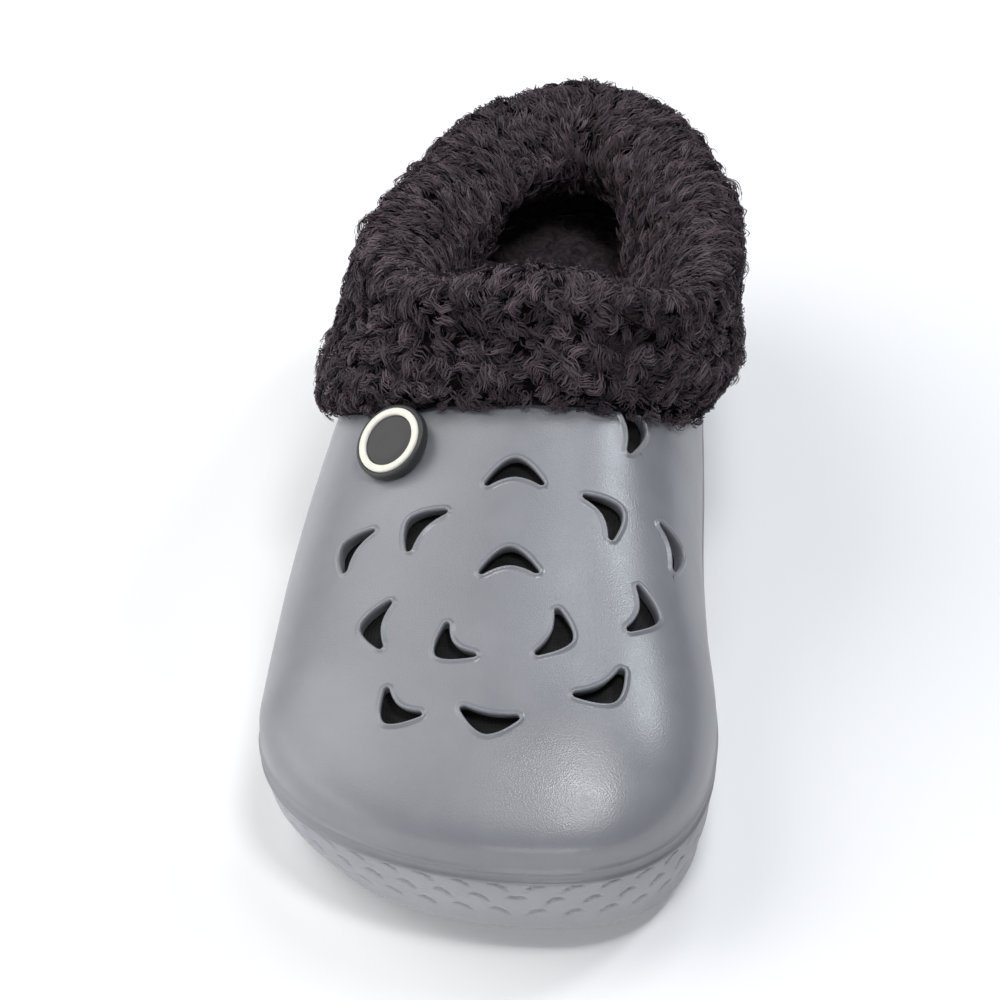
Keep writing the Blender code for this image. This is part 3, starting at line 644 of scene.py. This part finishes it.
def buildSole():
    columns = makeColumns(solePiece["columns"])
    n = columns["count"]
    rings = np.array([soleRow(columns, *ring) for ring in solePiece["rings"]])
    steps = [j + np.arange(each) / each for j, each in enumerate(solePiece["rowsEach"])]
    rows = catmull(rings, np.concatenate(steps + [[len(rings) - 1]]))
    station = columns["outline"][:, 1]
    tread, lip = lastAt["tread"](station), lastAt["lip"](station)
    wall = lip - tread
    along = runLengths(columns["outline"])
    pitch = (along[-1] + along[1]) / solePiece["nickCount"]
    for row in rows:  # nicks are pressed into the wall
        rise = row[:, 2] - tread
        depth = np.zeros(n)
        for line, level in enumerate(solePiece["nickRows"]):
            cell = along / pitch + 0.5 * (line % 2)
            a = (cell - np.floor(cell) - 0.5) * pitch
            a = np.where(columns["lateral"], -a, a)
            arc = level * wall - (a + 1.0) ** 2 / solePiece["nickBow"] + solePiece["nickLift"]
            window = np.clip((solePiece["nickReach"] - np.abs(a)) / solePiece["nickFade"], 0, 1)
            over = rise - arc
            fall = np.where(over > 0, solePiece["nickSharp"], solePiece["nickSoft"])
            depth = np.maximum(depth, window * np.exp(-(over / fall) ** 2))
        row[:, :2] -= columns["outlineNormal"] * (depth * solePiece["nickDepth"])[:, None]
    bm = gridFrom(rows, True)
    under, across = fillAcross(rows[0], solePiece["treadRows"])
    edge = np.minimum(1, 6 * np.minimum(across, 1 - across))  # grooves run out before the tread's edge
    for station in solePiece["grooves"]:
        off = np.clip((solePiece["grooveWidth"] / 2 - np.abs(under[..., 1] - station)) / 0.5, 0, 1)
        under[..., 2] += off * edge * solePiece["grooveDepth"]
    base = gridFrom(under, False)
    settleFoam(bm, "foamSoleWall", soleFoamPaintedLight, insideAt(0.014))
    settleFoam(base, "foamTread", soleFoamPaintedLight, lambda p: p + Vector((0, 0, 0.01)))
    print("sole ready")


buildSole()

# fleece: one profile per column from the insole's edge up the sock, over the fold and down to the hem
fleecePiece = {
    "columns": "share dropLateral dropMedial outLateral outMedial fold thickLateral thickMedial",
    "rows": [
        (0.0, 12, 12, -9, -9, 98, 8.5, 8.5),
        (0.07, 14.5, 13, -8.4, -7, 97, 8.8, 9.0),
        (0.16, 20, 15.5, -7, 0, 93.5, 9.0, 9.5),
        (0.3, 24, 18, -5, 4, 87.5, 9.0, 9.5),
        (0.51, 20, 17.5, -6.5, 3, 80, 7.5, 8.5),
        (0.75, 15, 15, -12.5, -6.5, 73, 7.5, 7.5),
        (0.9, 12, 12, -10.5, -9, 70, 7.5, 7.5),
        (1.0, 11, 11, -6, -6, 68.5, 7.5, 7.5),
    ],
    "sockDepth": 8.85,  # inner face of the sock under the upper's outer surface
    "badge": (-26.5, 108.5),
    "badgeClear": 9.9,
    # out and up from the fold
    "frontRoll": [(-9.5, -10.0), (-8.3, 2.5), (-5.5, 8.6), (-0.5, 10.6), (5.0, 9.6), (9.0, 4.6)],
    "sideRoll": [(-15.0, -9.0), (-12.3, -2.5), (-7.6, 3.2), (-1.6, 7.2), (4.4, 8.3), (9.0, 4.0)],
    "sockPad": [3.0, 9.0, 12.0],  # thicker pile low on the sides
    "medialLift": (3.5, 0.15, 0.09),  # higher at the medial front: amount, middle and width
    "medialFill": (6.0, 0.22, 0.2),  # and the cuff is fuller under it
    "footInset": 10.6,
    "footRise": 9.0,
    "foldStart": 4.0,  # profile's row where the sock ends, the fold's top and the hem
    "foldTop": 8.0,
    "hem": 13.1,
    "sink": 2.2,  # strands start this far under the pile's outer face
    "backSink": 1.3,  # and the woven back lies lower by this factor
    "throat": 2.8,  # row where the pile stops under the throat's edge
    "front": 0.25,  # share of the opening that is the throat
}
fleeceColumns = dict(zip(fleecePiece["columns"].split(), zip(*fleecePiece["rows"])))
fleeceAt = {name: smoothThrough(fleeceColumns["share"], column) for name, column in fleeceColumns.items()}


def sided(columns, name):
    share = columns["share"]
    return np.where(columns["lateral"], fleeceAt[name + "Lateral"](share), fleeceAt[name + "Medial"](share))


def medialSwell(columns, name):
    amount, middle, width = fleecePiece[name]
    return np.where(columns["lateral"], 0.0, amount) * np.exp(-((columns["share"] - middle) / width) ** 2)


def foldRow(columns, out, up):
    reach = sided(columns, "out") + out
    plan = columns["opening"] + columns["openingNormal"] * reach[:, None]
    lift = medialSwell(columns, "medialLift")
    return raised(plan, fleeceAt["fold"](columns["share"]) + lift + up)


def dropShare(columns, part, extra):  # how far down each column the hem's share lies
    n = columns["count"]
    ts = np.linspace(1, 0, 161)
    k = np.arange(n)
    path = np.array([columnPoint(columns, k, np.full(n, t)) for t in ts])
    run = np.concatenate([np.zeros((1, n)), np.cumsum(np.linalg.norm(np.diff(path, axis=0), axis=2), axis=0)])
    badge = seatFrame(*fleecePiece["badge"])[0]
    near = np.linalg.norm(path - badge, axis=2) < fleecePiece["badgeClear"]
    wanted = sided(columns, "drop") * part + extra
    out = np.empty(n)
    for i in range(n):
        stop = np.argmax(near[:, i]) if near[:, i].any() else len(ts) - 1
        out[i] = max(np.interp(wanted[i], run[:, i], ts), ts[stop])
    return out


def overSkin(columns, t, thick):
    skin = surfaceRow(columns, t, 0.0)
    return skin + unit(surfaceRow(columns, t, -1.0) - skin) * thick


def fleeceProfile(columns):
    depth = fleecePiece["sockDepth"]
    foot = lastAt["footbed"](columns["outline"][:, 1])
    rows = [raised(inset(columns, fleecePiece["footInset"]), foot + fleecePiece["footRise"])]
    slope = np.clip((columns["share"] - 0.04) / 0.2, 0, 1)
    slope = slope * slope * (3 - 2 * slope)
    for t, pad in zip((0.0, 0.4, 0.8), fleecePiece["sockPad"]):
        rows.append(surfaceRow(columns, t, depth + pad * slope))
    for (frontOut, frontUp), (sideOut, sideUp) in zip(fleecePiece["frontRoll"], fleecePiece["sideRoll"]):
        out, up = frontOut + (sideOut - frontOut) * slope, frontUp + (sideUp - frontUp) * slope
        rows.append(foldRow(columns, out, up))
    thick = sided(columns, "thick")[:, None]
    swell = medialSwell(columns, "medialFill")[:, None]
    rows.append(overSkin(columns, 1.0, thick + swell))
    for part, extra, share, fill in ((0.55, 0.0, 1.0, 0.4), (1.0, 0.0, 0.85, -0.6)):
        rows.append(overSkin(columns, dropShare(columns, part, extra), thick * share + fill * swell))
    for part, extra, gap in ((1.0, 3.0, 2.5), (1.0, 1.0, 0.4), (0.5, 0.0, 0.4)):  # hem and underside
        rows.append(surfaceRow(columns, dropShare(columns, part, extra), -gap))
    return np.array(rows)


pileProfile = fleeceProfile(upperColumns)
print("fleece profile", pileProfile.shape)


def profileAt(k, w):
    n, last = pileProfile.shape[1], len(pileProfile) - 1
    j = np.clip(np.floor(w).astype(int), 0, last - 1)
    k0 = np.floor(k).astype(int)
    g = (k - k0)[:, None]

    def ring(i):
        i = np.clip(i, 0, last)
        return pileProfile[i, k0 % n] * (1 - g) + pileProfile[i, (k0 + 1) % n] * g

    return throughFour([ring(j + d) for d in (-1, 0, 1, 2)], (w - j)[:, None])


def profileAxes(k, w):
    last = len(pileProfile) - 1
    around = unit(profileAt(k + 3, w) - profileAt(k - 3, w))
    down = profileAt(k, np.minimum(w + 0.08, last)) - profileAt(k, np.maximum(w - 0.08, 0))
    down = unit(down - around * np.sum(down * around, axis=1, keepdims=True))
    return around, down, np.cross(around, down)


def makePile(name, dark, light, rough):
    made, tree, shader = newMaterial(name)
    # the tone attribute holds each strand's own random tone together with the painted shade and light set in
    # growPile
    tone = addNode(tree, "ShaderNodeAttribute", attribute_name="tone")
    paint(tree, shader, tone.outputs["Fac"], dark, light)
    setInputs(shader, {"Roughness": rough, "Specular IOR Level": 0.15})
    setInputs(shader, {"Sheen Weight": 0.12, "Sheen Roughness": 0.5, "Sheen Tint": (1.0, 0.84, 0.92, 1)})
    return made


def makeBacking(name, dark, light, gloss):
    made, tree, shader = newMaterial(name)
    coord = addNode(tree, "ShaderNodeTexCoord")
    looks = {"Scale": 420.0, "Detail": 4.0, "Distortion": 1.2}
    curl = addTexture(tree, coord.outputs["Object"], "Noise", looks)
    tone = rangeNode(tree, curl.outputs[0], 0.35, 0.7, 0.0, 1.0)
    paint(tree, shader, tone, dark, light)
    setInputs(shader, {"Roughness": 0.95, "Specular IOR Level": gloss})
    addBump(tree, shader, curl.outputs[0], 0.8, 0.0012)
    return made


pileFinish = makePile("curlyPile", (0.006, 0.0045, 0.0052), (0.185, 0.14, 0.161), 0.8)
# lit and shaded copies of one brushed pile: the lateral inner wall is painted lighter than the medial one,
# painted light and shade by side
innerPileLitAndShaded = {
    "Lateral": makePile("brushedPileLateralPaintedLight", (0.014, 0.0105, 0.012), (0.275, 0.21, 0.236), 0.8),
    "Medial": makePile("brushedPileMedialPaintedShade", (0.012, 0.009, 0.0105), (0.23, 0.175, 0.197), 0.8),
}
# the sock pile, the sock's backing and the insole are painted much lighter than the same fleece on the cuff,
# painted light inside the shoe
sockPilePaintedLight = makePile("sockPileFinishPaintedLight", (0.03, 0.0225, 0.026), (0.34, 0.26, 0.294), 0.85)
# the cuff's backing is near black: painted shade in the gaps between tufts
backing = makeBacking("pileBackingPaintedShade", (0.002, 0.0016, 0.0018), (0.009, 0.007, 0.008), 0.1)
sockBackingPaintedLight = makeBacking("sockBackingPaintedLight", (0.02, 0.015, 0.018), (0.07, 0.055, 0.062), 0.5)
insoleFinishPaintedLight = makeBacking("insolePilePaintedLight", (0.03, 0.0225, 0.026), (0.11, 0.086, 0.096), 0.5)


def buildBacking():
    foldStart, end = fleecePiece["foldStart"], len(pileProfile) - 1.0
    k = np.arange(0, upperColumns["count"], 2).astype(float)
    for name, low, high, count, slot, nodes, finish in (
        ("sockBack", 0.0, foldStart, 22, "dark_lining", ["liner_sock"], sockBackingPaintedLight),
        ("cuffBack", foldStart, end, 44, "dark_pile", ["fleece_cuff"], backing),
    ):
        rows = []
        for w in np.linspace(low, high, count):
            at = np.full(len(k), w)
            sink = fleecePiece["sink"] * np.clip(end - 1 - w, 0, 1)
            rows.append(profileAt(k, at) - profileAxes(k, at)[2] * sink * fleecePiece["backSink"])
        bm = gridFrom(np.array(rows), True)
        normals = profileAxes(k, np.full(len(k), (low + high) / 2))[2]
        piece = settle(bm, name, finish, slot, nodes)
        spot = piece.data.polygons[len(piece.data.polygons) // 2]
        near = np.argmin(np.linalg.norm(toFrame(rows[count // 2]) - np.array(spot.center), axis=1))
        if np.dot(normals[near], np.array(spot.normal)) < 0:
            piece.data.flip_normals()
    print("fleece backing ready")


buildBacking()


def scatterLocks(betweenRows, betweenColumns, perSquare):  # even over the area
    step = 0.1
    grids = np.meshgrid(np.arange(*betweenColumns, 1.0), np.arange(*betweenRows, step))
    gridK, gridW = [g.ravel() for g in grids]
    sideA = profileAt(gridK + 1, gridW) - profileAt(gridK, gridW)
    sideB = profileAt(gridK, gridW + step) - profileAt(gridK, gridW)
    total = np.cumsum(np.linalg.norm(np.cross(sideA, sideB), axis=1))
    locks = int(total[-1] * perSquare)
    cell = np.searchsorted(total, (np.arange(locks) + dice.random(locks)) / locks * total[-1])
    cell = np.minimum(cell, len(gridK) - 1)
    lockK, lockW = gridK[cell] + dice.random(locks), gridW[cell] + step * dice.random(locks)
    front = upperColumns["share"][lockK.astype(int) % upperColumns["count"]] < fleecePiece["front"]
    keep = ~front | (lockW < fleecePiece["throat"]) | (lockW > fleecePiece["foldStart"])
    return lockK[keep], lockW[keep]


def ribbonMesh(name, spine, reach, shade):  # a ribbon of quads along each strand
    count, points = spine.shape[:2]
    verts = np.stack([spine - reach, spine + reach], axis=2).reshape(-1, 3)
    base = (np.arange(count)[:, None] * points + np.arange(points - 1)[None]).ravel() * 2
    faces = np.stack([base, base + 1, base + 3, base + 2], axis=1)
    mesh = bpy.data.meshes.new(name)
    mesh.vertices.add(len(verts))
    mesh.vertices.foreach_set("co", toFrame(verts).astype(np.float32).ravel())
    mesh.loops.add(faces.size)
    mesh.loops.foreach_set("vertex_index", faces.astype(np.int32).ravel())
    mesh.polygons.add(len(faces))
    mesh.polygons.foreach_set("loop_start", np.arange(0, faces.size, 4, dtype=np.int32))
    mesh.update(calc_edges=True)
    tones = shade.repeat(2, axis=1).ravel().astype(np.float32)
    mesh.attributes.new("tone", "FLOAT", "POINT").data.foreach_set("value", tones)
    mesh.polygons.foreach_set("use_smooth", [True] * len(mesh.polygons))
    return mesh


def growPile(name, slot, nodes, finish, betweenRows, betweenColumns, spec):
    lockK, lockW = scatterLocks(betweenRows, betweenColumns, spec["locksPerSquare"])
    locks = len(lockK)
    root = profileAt(lockK, lockW)
    around, down, out = profileAxes(lockK, lockW)
    heart = []  # middles of the tufts, no two nearer than the tuft's width
    for spot in root[dice.permutation(locks)]:
        if not heart or np.min(np.sum((np.array(heart) - spot) ** 2, axis=1)) > spec["tuft"] ** 2:
            heart.append(spot)
    heart = np.array(heart)
    own = np.array([np.argmin(np.sum((heart - spot) ** 2, axis=1)) for spot in root])
    fromHeart = root - heart[own]
    fromHeart -= out * np.sum(fromHeart * out, axis=1, keepdims=True)
    far = np.clip(np.linalg.norm(fromHeart, axis=1) / (0.75 * spec["tuft"]), 0, 1)
    root = root + out * (spec["clump"] * (1 - far ** 2))[:, None] - fromHeart * spec["draw"]
    x, y, z = root.T
    swirl = np.sin(x / 5.1 + 2.0 * np.sin(z / 7.3)) + np.cos(y / 6.1 + z / 4.7)
    angle = spec["swirl"] * swirl + dice.normal(0, spec["scatter"], locks)
    comb = np.cos(angle)[:, None] * down + np.sin(angle)[:, None] * around
    comb = unit(comb + fromHeart * (spec["fan"] / spec["tuft"]))
    side = np.cross(out, comb)
    length = spec["length"] * dice.uniform(0.75, 1.25, locks)
    length *= np.clip(1 - (lockW - 11.0) / 1.6, 0.45, 1)  # locks at the hem are cut short
    # painted shade: where top is under 1 the pile darkens towards the fold, as shade in the hollow under it
    tone = np.interp(lockW, [2.2, fleecePiece["foldStart"]], [1.0, spec["top"]])
    tone = tone * dice.uniform(0.55, 1.0, locks)
    # each tuft's random tone is the fleece's own; gap darkens it towards the tuft's edge, painted shade
    # between tufts
    tone = tone * dice.uniform(0.7, 1.1, len(heart))[own] * (1 - spec["gap"] * far ** 2)
    lean0 = dice.normal(spec["lean"], 0.12, locks)
    rolled = np.exp(-((lockW - fleecePiece["foldTop"]) / 1.6) ** 2)  # locks on the fold hug its curve
    bend = dice.normal(spec["bend"], 0.3, locks) + 0.7 * rolled
    twist = dice.normal(0, spec["twist"], locks)
    wave = dice.uniform(0, 2 * math.pi, locks)
    swing = spec["ripple"] * dice.uniform(0.6, 1.3, locks)
    each = np.repeat(np.arange(locks), spec["fibres"])  # each strand's lock
    count = len(each)
    s = np.linspace(0, 1, spec["points"])[None, :]  # from root to tip
    wide = spec["lockRadius"] * dice.uniform(-1, 1, count)
    aside = wide / spec["lockRadius"]
    high = 0.4 * spec["lockRadius"] * dice.uniform(-1, 1, count) * np.sqrt(1 - aside ** 2)
    back = 0.8 * spec["lockRadius"] * dice.uniform(-1, 1, count)
    lean = (lean0[each] + dice.normal(0, 0.06, count))[:, None]
    lean = lean + (bend[each] + dice.normal(0, 0.1, count))[:, None] * s
    step = (length[each] * dice.uniform(0.85, 1.1, count) / (spec["points"] - 1))[:, None, None]
    heading = (twist[each] + dice.normal(0, 0.1, count))[:, None] * s
    ripples = np.sin(2 * math.pi * spec["waves"] * s + wave[each][:, None])
    heading = (heading + swing[each][:, None] * ripples)[..., None]
    flow = np.cos(heading) * comb[each][:, None] + np.sin(heading) * side[each][:, None]
    flat = np.cross(out[each][:, None], flow)
    direction = np.cos(lean)[..., None] * out[each][:, None] + np.sin(lean)[..., None] * flow
    path = np.cumsum(direction * step, axis=1) - direction[:, :1] * step
    closing = (1 - spec["gather"] * s ** 1.5)[..., None]
    rise = unit(np.cross(direction, flat))
    start = root[each] - out[each] * fleecePiece["sink"] + comb[each] * back[:, None]
    spine = start[:, None] + path + closing * (flat * wide[:, None, None] - rise * high[:, None, None])
    tilt = dice.uniform(-0.6, 0.6, count)[:, None, None] + 0.5 * aside[:, None, None]
    across = unit(np.cos(tilt) * flat + np.sin(tilt) * rise)
    half = 0.5 * spec["width"] * (1 - 0.6 * s ** 3)[..., None]
    # each strand's random tone is the fleece's own; darker at the lock's sides is painted shade, and lighter
    # the higher it lies is painted light
    fibreToneAndShade = tone[each] * dice.uniform(0.7, 1.1, count) * (1 - 0.45 * aside ** 2)
    fibreToneAndShade = fibreToneAndShade * (0.85 + 0.5 * high / spec["lockRadius"])
    # darkest at the root, lightest midway, a little darker at the tip: painted shade deep in the pile
    shade = np.clip(fibreToneAndShade[:, None] * (0.05 + 0.95 * np.sin(0.2 + 2.0 * s)), 0, 1)
    mesh = ribbonMesh(name, spine, across * half, shade)
    place(mesh, name, finish, slot, nodes)
    print(name, locks, "locks,", 2 * len(mesh.polygons), "triangles")


# gap sets the painted shade at tuft edges, top the painted shade towards the fold
curls = {
    "locksPerSquare": 0.19, "fibres": 12, "points": 6, "length": 6.6, "lockRadius": 1.6, "gather": 0.3,
    "swirl": 0.5, "scatter": 0.6, "lean": 0.45, "bend": 2.3, "twist": 1.0, "ripple": 0.7,
    "waves": 1.2, "width": 0.35, "clump": 1.3, "tuft": 4.6, "draw": 0.35, "fan": 1.8, "gap": 0.72, "top": 1.0,
}
brushed = {
    "locksPerSquare": 0.18, "fibres": 13, "points": 5, "length": 5.2, "lockRadius": 1.7, "gather": 0.15,
    "swirl": 0.35, "scatter": 0.3, "lean": 0.8, "bend": 1.4, "twist": 0.5, "ripple": 0.6,
    "waves": 1.2, "width": 0.34, "clump": 0.6, "tuft": 5.0, "draw": 0.1, "fan": 0.4, "gap": 0.3, "top": 1.0,
}
sparse = dict(brushed, locksPerSquare=0.085, fibres=8, width=0.48, top=0.75)
n = upperColumns["count"]
foldStart, foldTop = fleecePiece["foldStart"], fleecePiece["foldTop"]
sockRows, foldRows, cuffRows = (1.2, foldStart), (foldStart, foldTop), (foldTop, fleecePiece["hem"])
pileColumns = {
    "Lateral": {"Front": (0, 0.3 * n), "Back": (0.3 * n, 0.5 * n), "fold": (0, 0.5 * n)},
    "Medial": {"Front": (0.7 * n, n), "Back": (0.5 * n, 0.7 * n), "fold": (0.48 * n, n)},  # laps at the heel
}
for side, parts in pileColumns.items():
    for part in ("Front", "Back"):
        name = f"cuffCurls{side}{part}"
        growPile(name, "dark_pile", ["fleece_cuff"], pileFinish, cuffRows, parts[part], curls)
    name = f"foldPile{side}"
    growPile(name, "dark_pile", ["fleece_cuff"], innerPileLitAndShaded[side], foldRows, parts["fold"], brushed)
growPile("sockPilePaintedLight", "dark_lining", ["liner_sock"], sockPilePaintedLight, sockRows, (0, n), sparse)

# insole: pile that closes the sock underneath
insolePiece = {"inset": 9.0, "rise": 7.5, "across": 48, "lump": 0.9, "dish": 3.0}


def buildInsole():
    foot = lastAt["footbed"](upperColumns["outline"][:, 1])
    edge = raised(inset(upperColumns, insolePiece["inset"]), foot + insolePiece["rise"])
    top, across = fillAcross(edge, insolePiece["across"])
    x, y = top[..., 0], top[..., 1]
    lumps = np.sin(x / 1.9 + 1.5 * np.sin(y / 3.1)) * np.sin(y / 2.2 + np.cos(x / 2.7))
    top[..., 2] += insolePiece["lump"] * lumps
    top[..., 2] += insolePiece["dish"] * (2 * across - 1) ** 4  # higher towards the wall
    below = lambda p: p - Vector((0, 0, 0.01))
    piece = settle(gridFrom(top, False), "insoleTop", insoleFinishPaintedLight, "insole_pile", ["liner_insole"], below)
    print("insole ready")


buildInsole()

# mesh cloth of the sock seen through the vents; its dark lining colour is deepened to near black, painted
# shade inside the vents
meshPiece = {"depth": 4.0, "rows": 40, "dark": (0.001, 0.001, 0.001), "light": (0.007, 0.0065, 0.007)}


def makeMeshCloth():
    made, tree, shader = newMaterial("ventMeshClothPaintedShade")
    coord = addNode(tree, "ShaderNodeTexCoord")
    holes = addTexture(tree, coord.outputs["Object"], "Voronoi", {"Scale": 1100.0, "Randomness": 0.25})
    tone = rangeNode(tree, holes.outputs["Distance"], 0.2, 0.55, 0.0, 1.0)
    paint(tree, shader, tone, meshPiece["dark"], meshPiece["light"])
    setInputs(shader, {"Roughness": 0.85})
    addBump(tree, shader, holes.outputs["Distance"], 0.7, 0.0004)
    return made


def buildMeshCloth():
    ts = np.linspace(0.02, 0.99, meshPiece["rows"])
    rows = [surfaceRow(upperColumns, t, meshPiece["depth"])[::2] for t in ts]
    bm = gridFrom(np.array(rows), True)
    settle(bm, "sockMeshCloth", makeMeshCloth(), "dark_lining", ["liner_sock"], insideAt(0.03))
    print("mesh cloth ready")


buildMeshCloth()

# stud: dark disc with a pale ring
badgePiece = {
    "seat": fleecePiece["badge"],
    "tilt": 9.0,
    "hinge": (0.89, -0.46, 0.0),
    "disc": [  # radius and height
        (0, -3.0), (3.6, -3.0), (3.6, 1.2), (9.0, 1.2), (9.7, 1.5), (10.0, 2.1), (10.0, 3.9), (9.8, 4.4),
        (9.3, 4.6), (8.95, 4.55), (8.9, 3.7), (6.8, 3.7), (6.75, 4.4), (6.4, 4.45), (5.6, 4.15),
        (3.0, 4.3), (0, 4.35),
    ],
    "ring": [
        (6.9, 3.75), (8.8, 3.75), (8.8, 4.75), (8.6, 5.05), (8.2, 5.15),
        (7.5, 5.15), (7.1, 5.05), (6.9, 4.75), (6.9, 3.75),
    ],
    "steps": 72,
}


def makePlastic(name, dark, light, rough):
    made, tree, shader = newMaterial(name)
    coord = addNode(tree, "ShaderNodeTexCoord")
    speck = addTexture(tree, coord.outputs["Object"], "Noise", {"Scale": 900.0, "Detail": 3.0})
    paint(tree, shader, speck.outputs[0], dark, light)
    gloss = rangeNode(tree, speck.outputs[0], 0.3, 0.7, rough - 0.06, rough + 0.06)
    tree.links.new(gloss, shader.inputs["Roughness"])
    addBump(tree, shader, speck.outputs[0], 0.25, 0.0001)
    return made


def buildBadge():
    centre, axisX, axisY, out = seatFrame(*badgePiece["seat"])
    turn = Matrix((axisX, axisY, out)).transposed().to_4x4()
    lean = Matrix.Rotation(math.radians(badgePiece["tilt"]), 4, Vector(badgePiece["hinge"]))
    seat = Matrix.Translation(Vector(toFrame(centre))) @ turn @ lean
    dark = makePlastic("studRubber", (0.02, 0.02, 0.022), (0.04, 0.039, 0.041), 0.45)
    pale = makePlastic("studCream", (0.72, 0.7, 0.62), (0.85, 0.83, 0.75), 0.5)
    for name, key, finish, slot, node in (
        ("studDisc", "disc", dark, "dark_plastic", "badge_cap"),
        ("studRing", "ring", pale, "pale_plastic", "badge_ring"),
    ):
        bm = bmesh.new()
        verts = [bm.verts.new((r * mm, 0, h * mm)) for r, h in badgePiece[key]]
        edges = [bm.edges.new(pair) for pair in zip(verts, verts[1:])]
        bmesh.ops.spin(bm, geom=verts + edges, cent=(0, 0, 0), axis=(0, 0, 1), angle=2 * math.pi,
                       steps=badgePiece["steps"], use_merge=True)
        bmesh.ops.remove_doubles(bm, verts=bm.verts[:], dist=1e-6)
        bmesh.ops.recalc_face_normals(bm, faces=bm.faces[:])
        bmesh.ops.transform(bm, matrix=seat, verts=bm.verts[:])
        settle(bm, name, finish, slot, [node])
    print("stud ready")


buildBadge()

# floor, light and camera
stageSetup = {
    "cameraAt": (0.1445, -1.1957, 1.0002),
    "elevation": 39.0,
    "azimuth": 4.1,
    "photoSize": 1000.0,
    "photoFocal": 5000.0,  # pixels
    "sensor": 36.0,
    "photoCentre": (290.5, 481.5),  # middle of the shoe in the photograph
    "zoom": 1.2,
    "floorReach": 3.0,
    "skyLeft": 0.34,
    "skyRight": 0.03,
    "lights": [  # place, width, length, power and colour
        ("keyLight", (-1.0, 0.1, 1.2), 1.4, 1.4, 12.4, (1.0, 0.975, 0.945)),
        ("toeLight", (0.2, -0.36, 1.08), 0.24, 0.24, 4.0, (0.99, 0.99, 1.0)),
        ("vampLight", (0.17, 0.36, 1.1), 0.3, 0.3, 1.8, (0.94, 0.97, 1.0)),
        ("sideLight", (0.66, 0.4, 0.98), 0.22, 0.22, 4.0, (0.88, 0.94, 1.0)),
        ("leftLight", (-1.4, -0.3, 0.28), 1.6, 0.7, 6.6, (1.0, 0.975, 0.945)),
        ("frontLight", (0.15, -1.6, 0.3), 0.9, 0.4, 4.4, (0.96, 0.98, 1.0)),
    ],
}


def buildStage():
    bm = bmesh.new()
    bmesh.ops.create_grid(bm, x_segments=1, y_segments=1, size=stageSetup["floorReach"])
    mesh = bpy.data.meshes.new("floor")
    bm.to_mesh(mesh)
    bm.free()
    floor = addObject("floor", mesh)
    finish, _, shader = newMaterial("paleFloor")
    setInputs(shader, {"Base Color": (0.86, 0.86, 0.87, 1), "Roughness": 0.7})
    setInputs(shader, {"Emission Color": (1, 1, 1, 1), "Emission Strength": 0.13})
    mesh.materials.append(finish)
    world = bpy.data.worlds.new("studio")
    bpy.context.scene.world = world
    world.use_nodes = True
    sky = world.node_tree
    coord = addNode(sky, "ShaderNodeTexCoord")
    parts = addNode(sky, "ShaderNodeSeparateXYZ")
    sky.links.new(coord.outputs["Generated"], parts.inputs[0])
    shade = rangeNode(sky, parts.outputs[0], -0.7, 0.8, stageSetup["skyLeft"], stageSetup["skyRight"])
    sky.links.new(shade, sky.nodes["Background"].inputs[1])
    sky.nodes["Background"].inputs[0].default_value = (0.86, 0.92, 1.0, 1)
    for name, at, wide, long, energy, colour in stageSetup["lights"]:
        light = bpy.data.lights.new(name, "AREA")
        light.shape = "RECTANGLE"
        light.size = wide
        light.size_y = long
        light.energy = energy
        light.color = colour
        lamp = addObject(name, light)
        lamp.location = at
        lamp.rotation_mode = "QUATERNION"
        lamp.rotation_quaternion = (Vector((0, 0, 0.04)) - Vector(at)).to_track_quat("-Z", "Y")
    e, a = math.radians(stageSetup["elevation"]), math.radians(stageSetup["azimuth"])
    ahead = Vector((-math.sin(a) * math.cos(e), math.cos(a) * math.cos(e), -math.sin(e)))
    right = Vector((math.cos(a), math.sin(a), 0))
    up = right.cross(ahead)
    focal, (px, py) = stageSetup["photoFocal"], stageSetup["photoCentre"]
    half = stageSetup["photoSize"] / 2
    aim = (ahead * focal + right * (px - half) + up * (half - py)).normalized()
    level = (right - aim * right.dot(aim)).normalized()
    camera = bpy.data.cameras.new("camera")
    camera.sensor_width = stageSetup["sensor"]
    camera.lens = stageSetup["sensor"] * focal * stageSetup["zoom"] / stageSetup["photoSize"]
    holder = addObject("camera", camera)
    turn = Matrix((level, level.cross(aim), -aim)).transposed().to_4x4()
    holder.matrix_world = Matrix.Translation(stageSetup["cameraAt"]) @ turn
    bpy.context.scene.camera = holder
    bpy.context.scene.view_settings.view_transform = "Standard"
    print("stage ready")


buildStage()
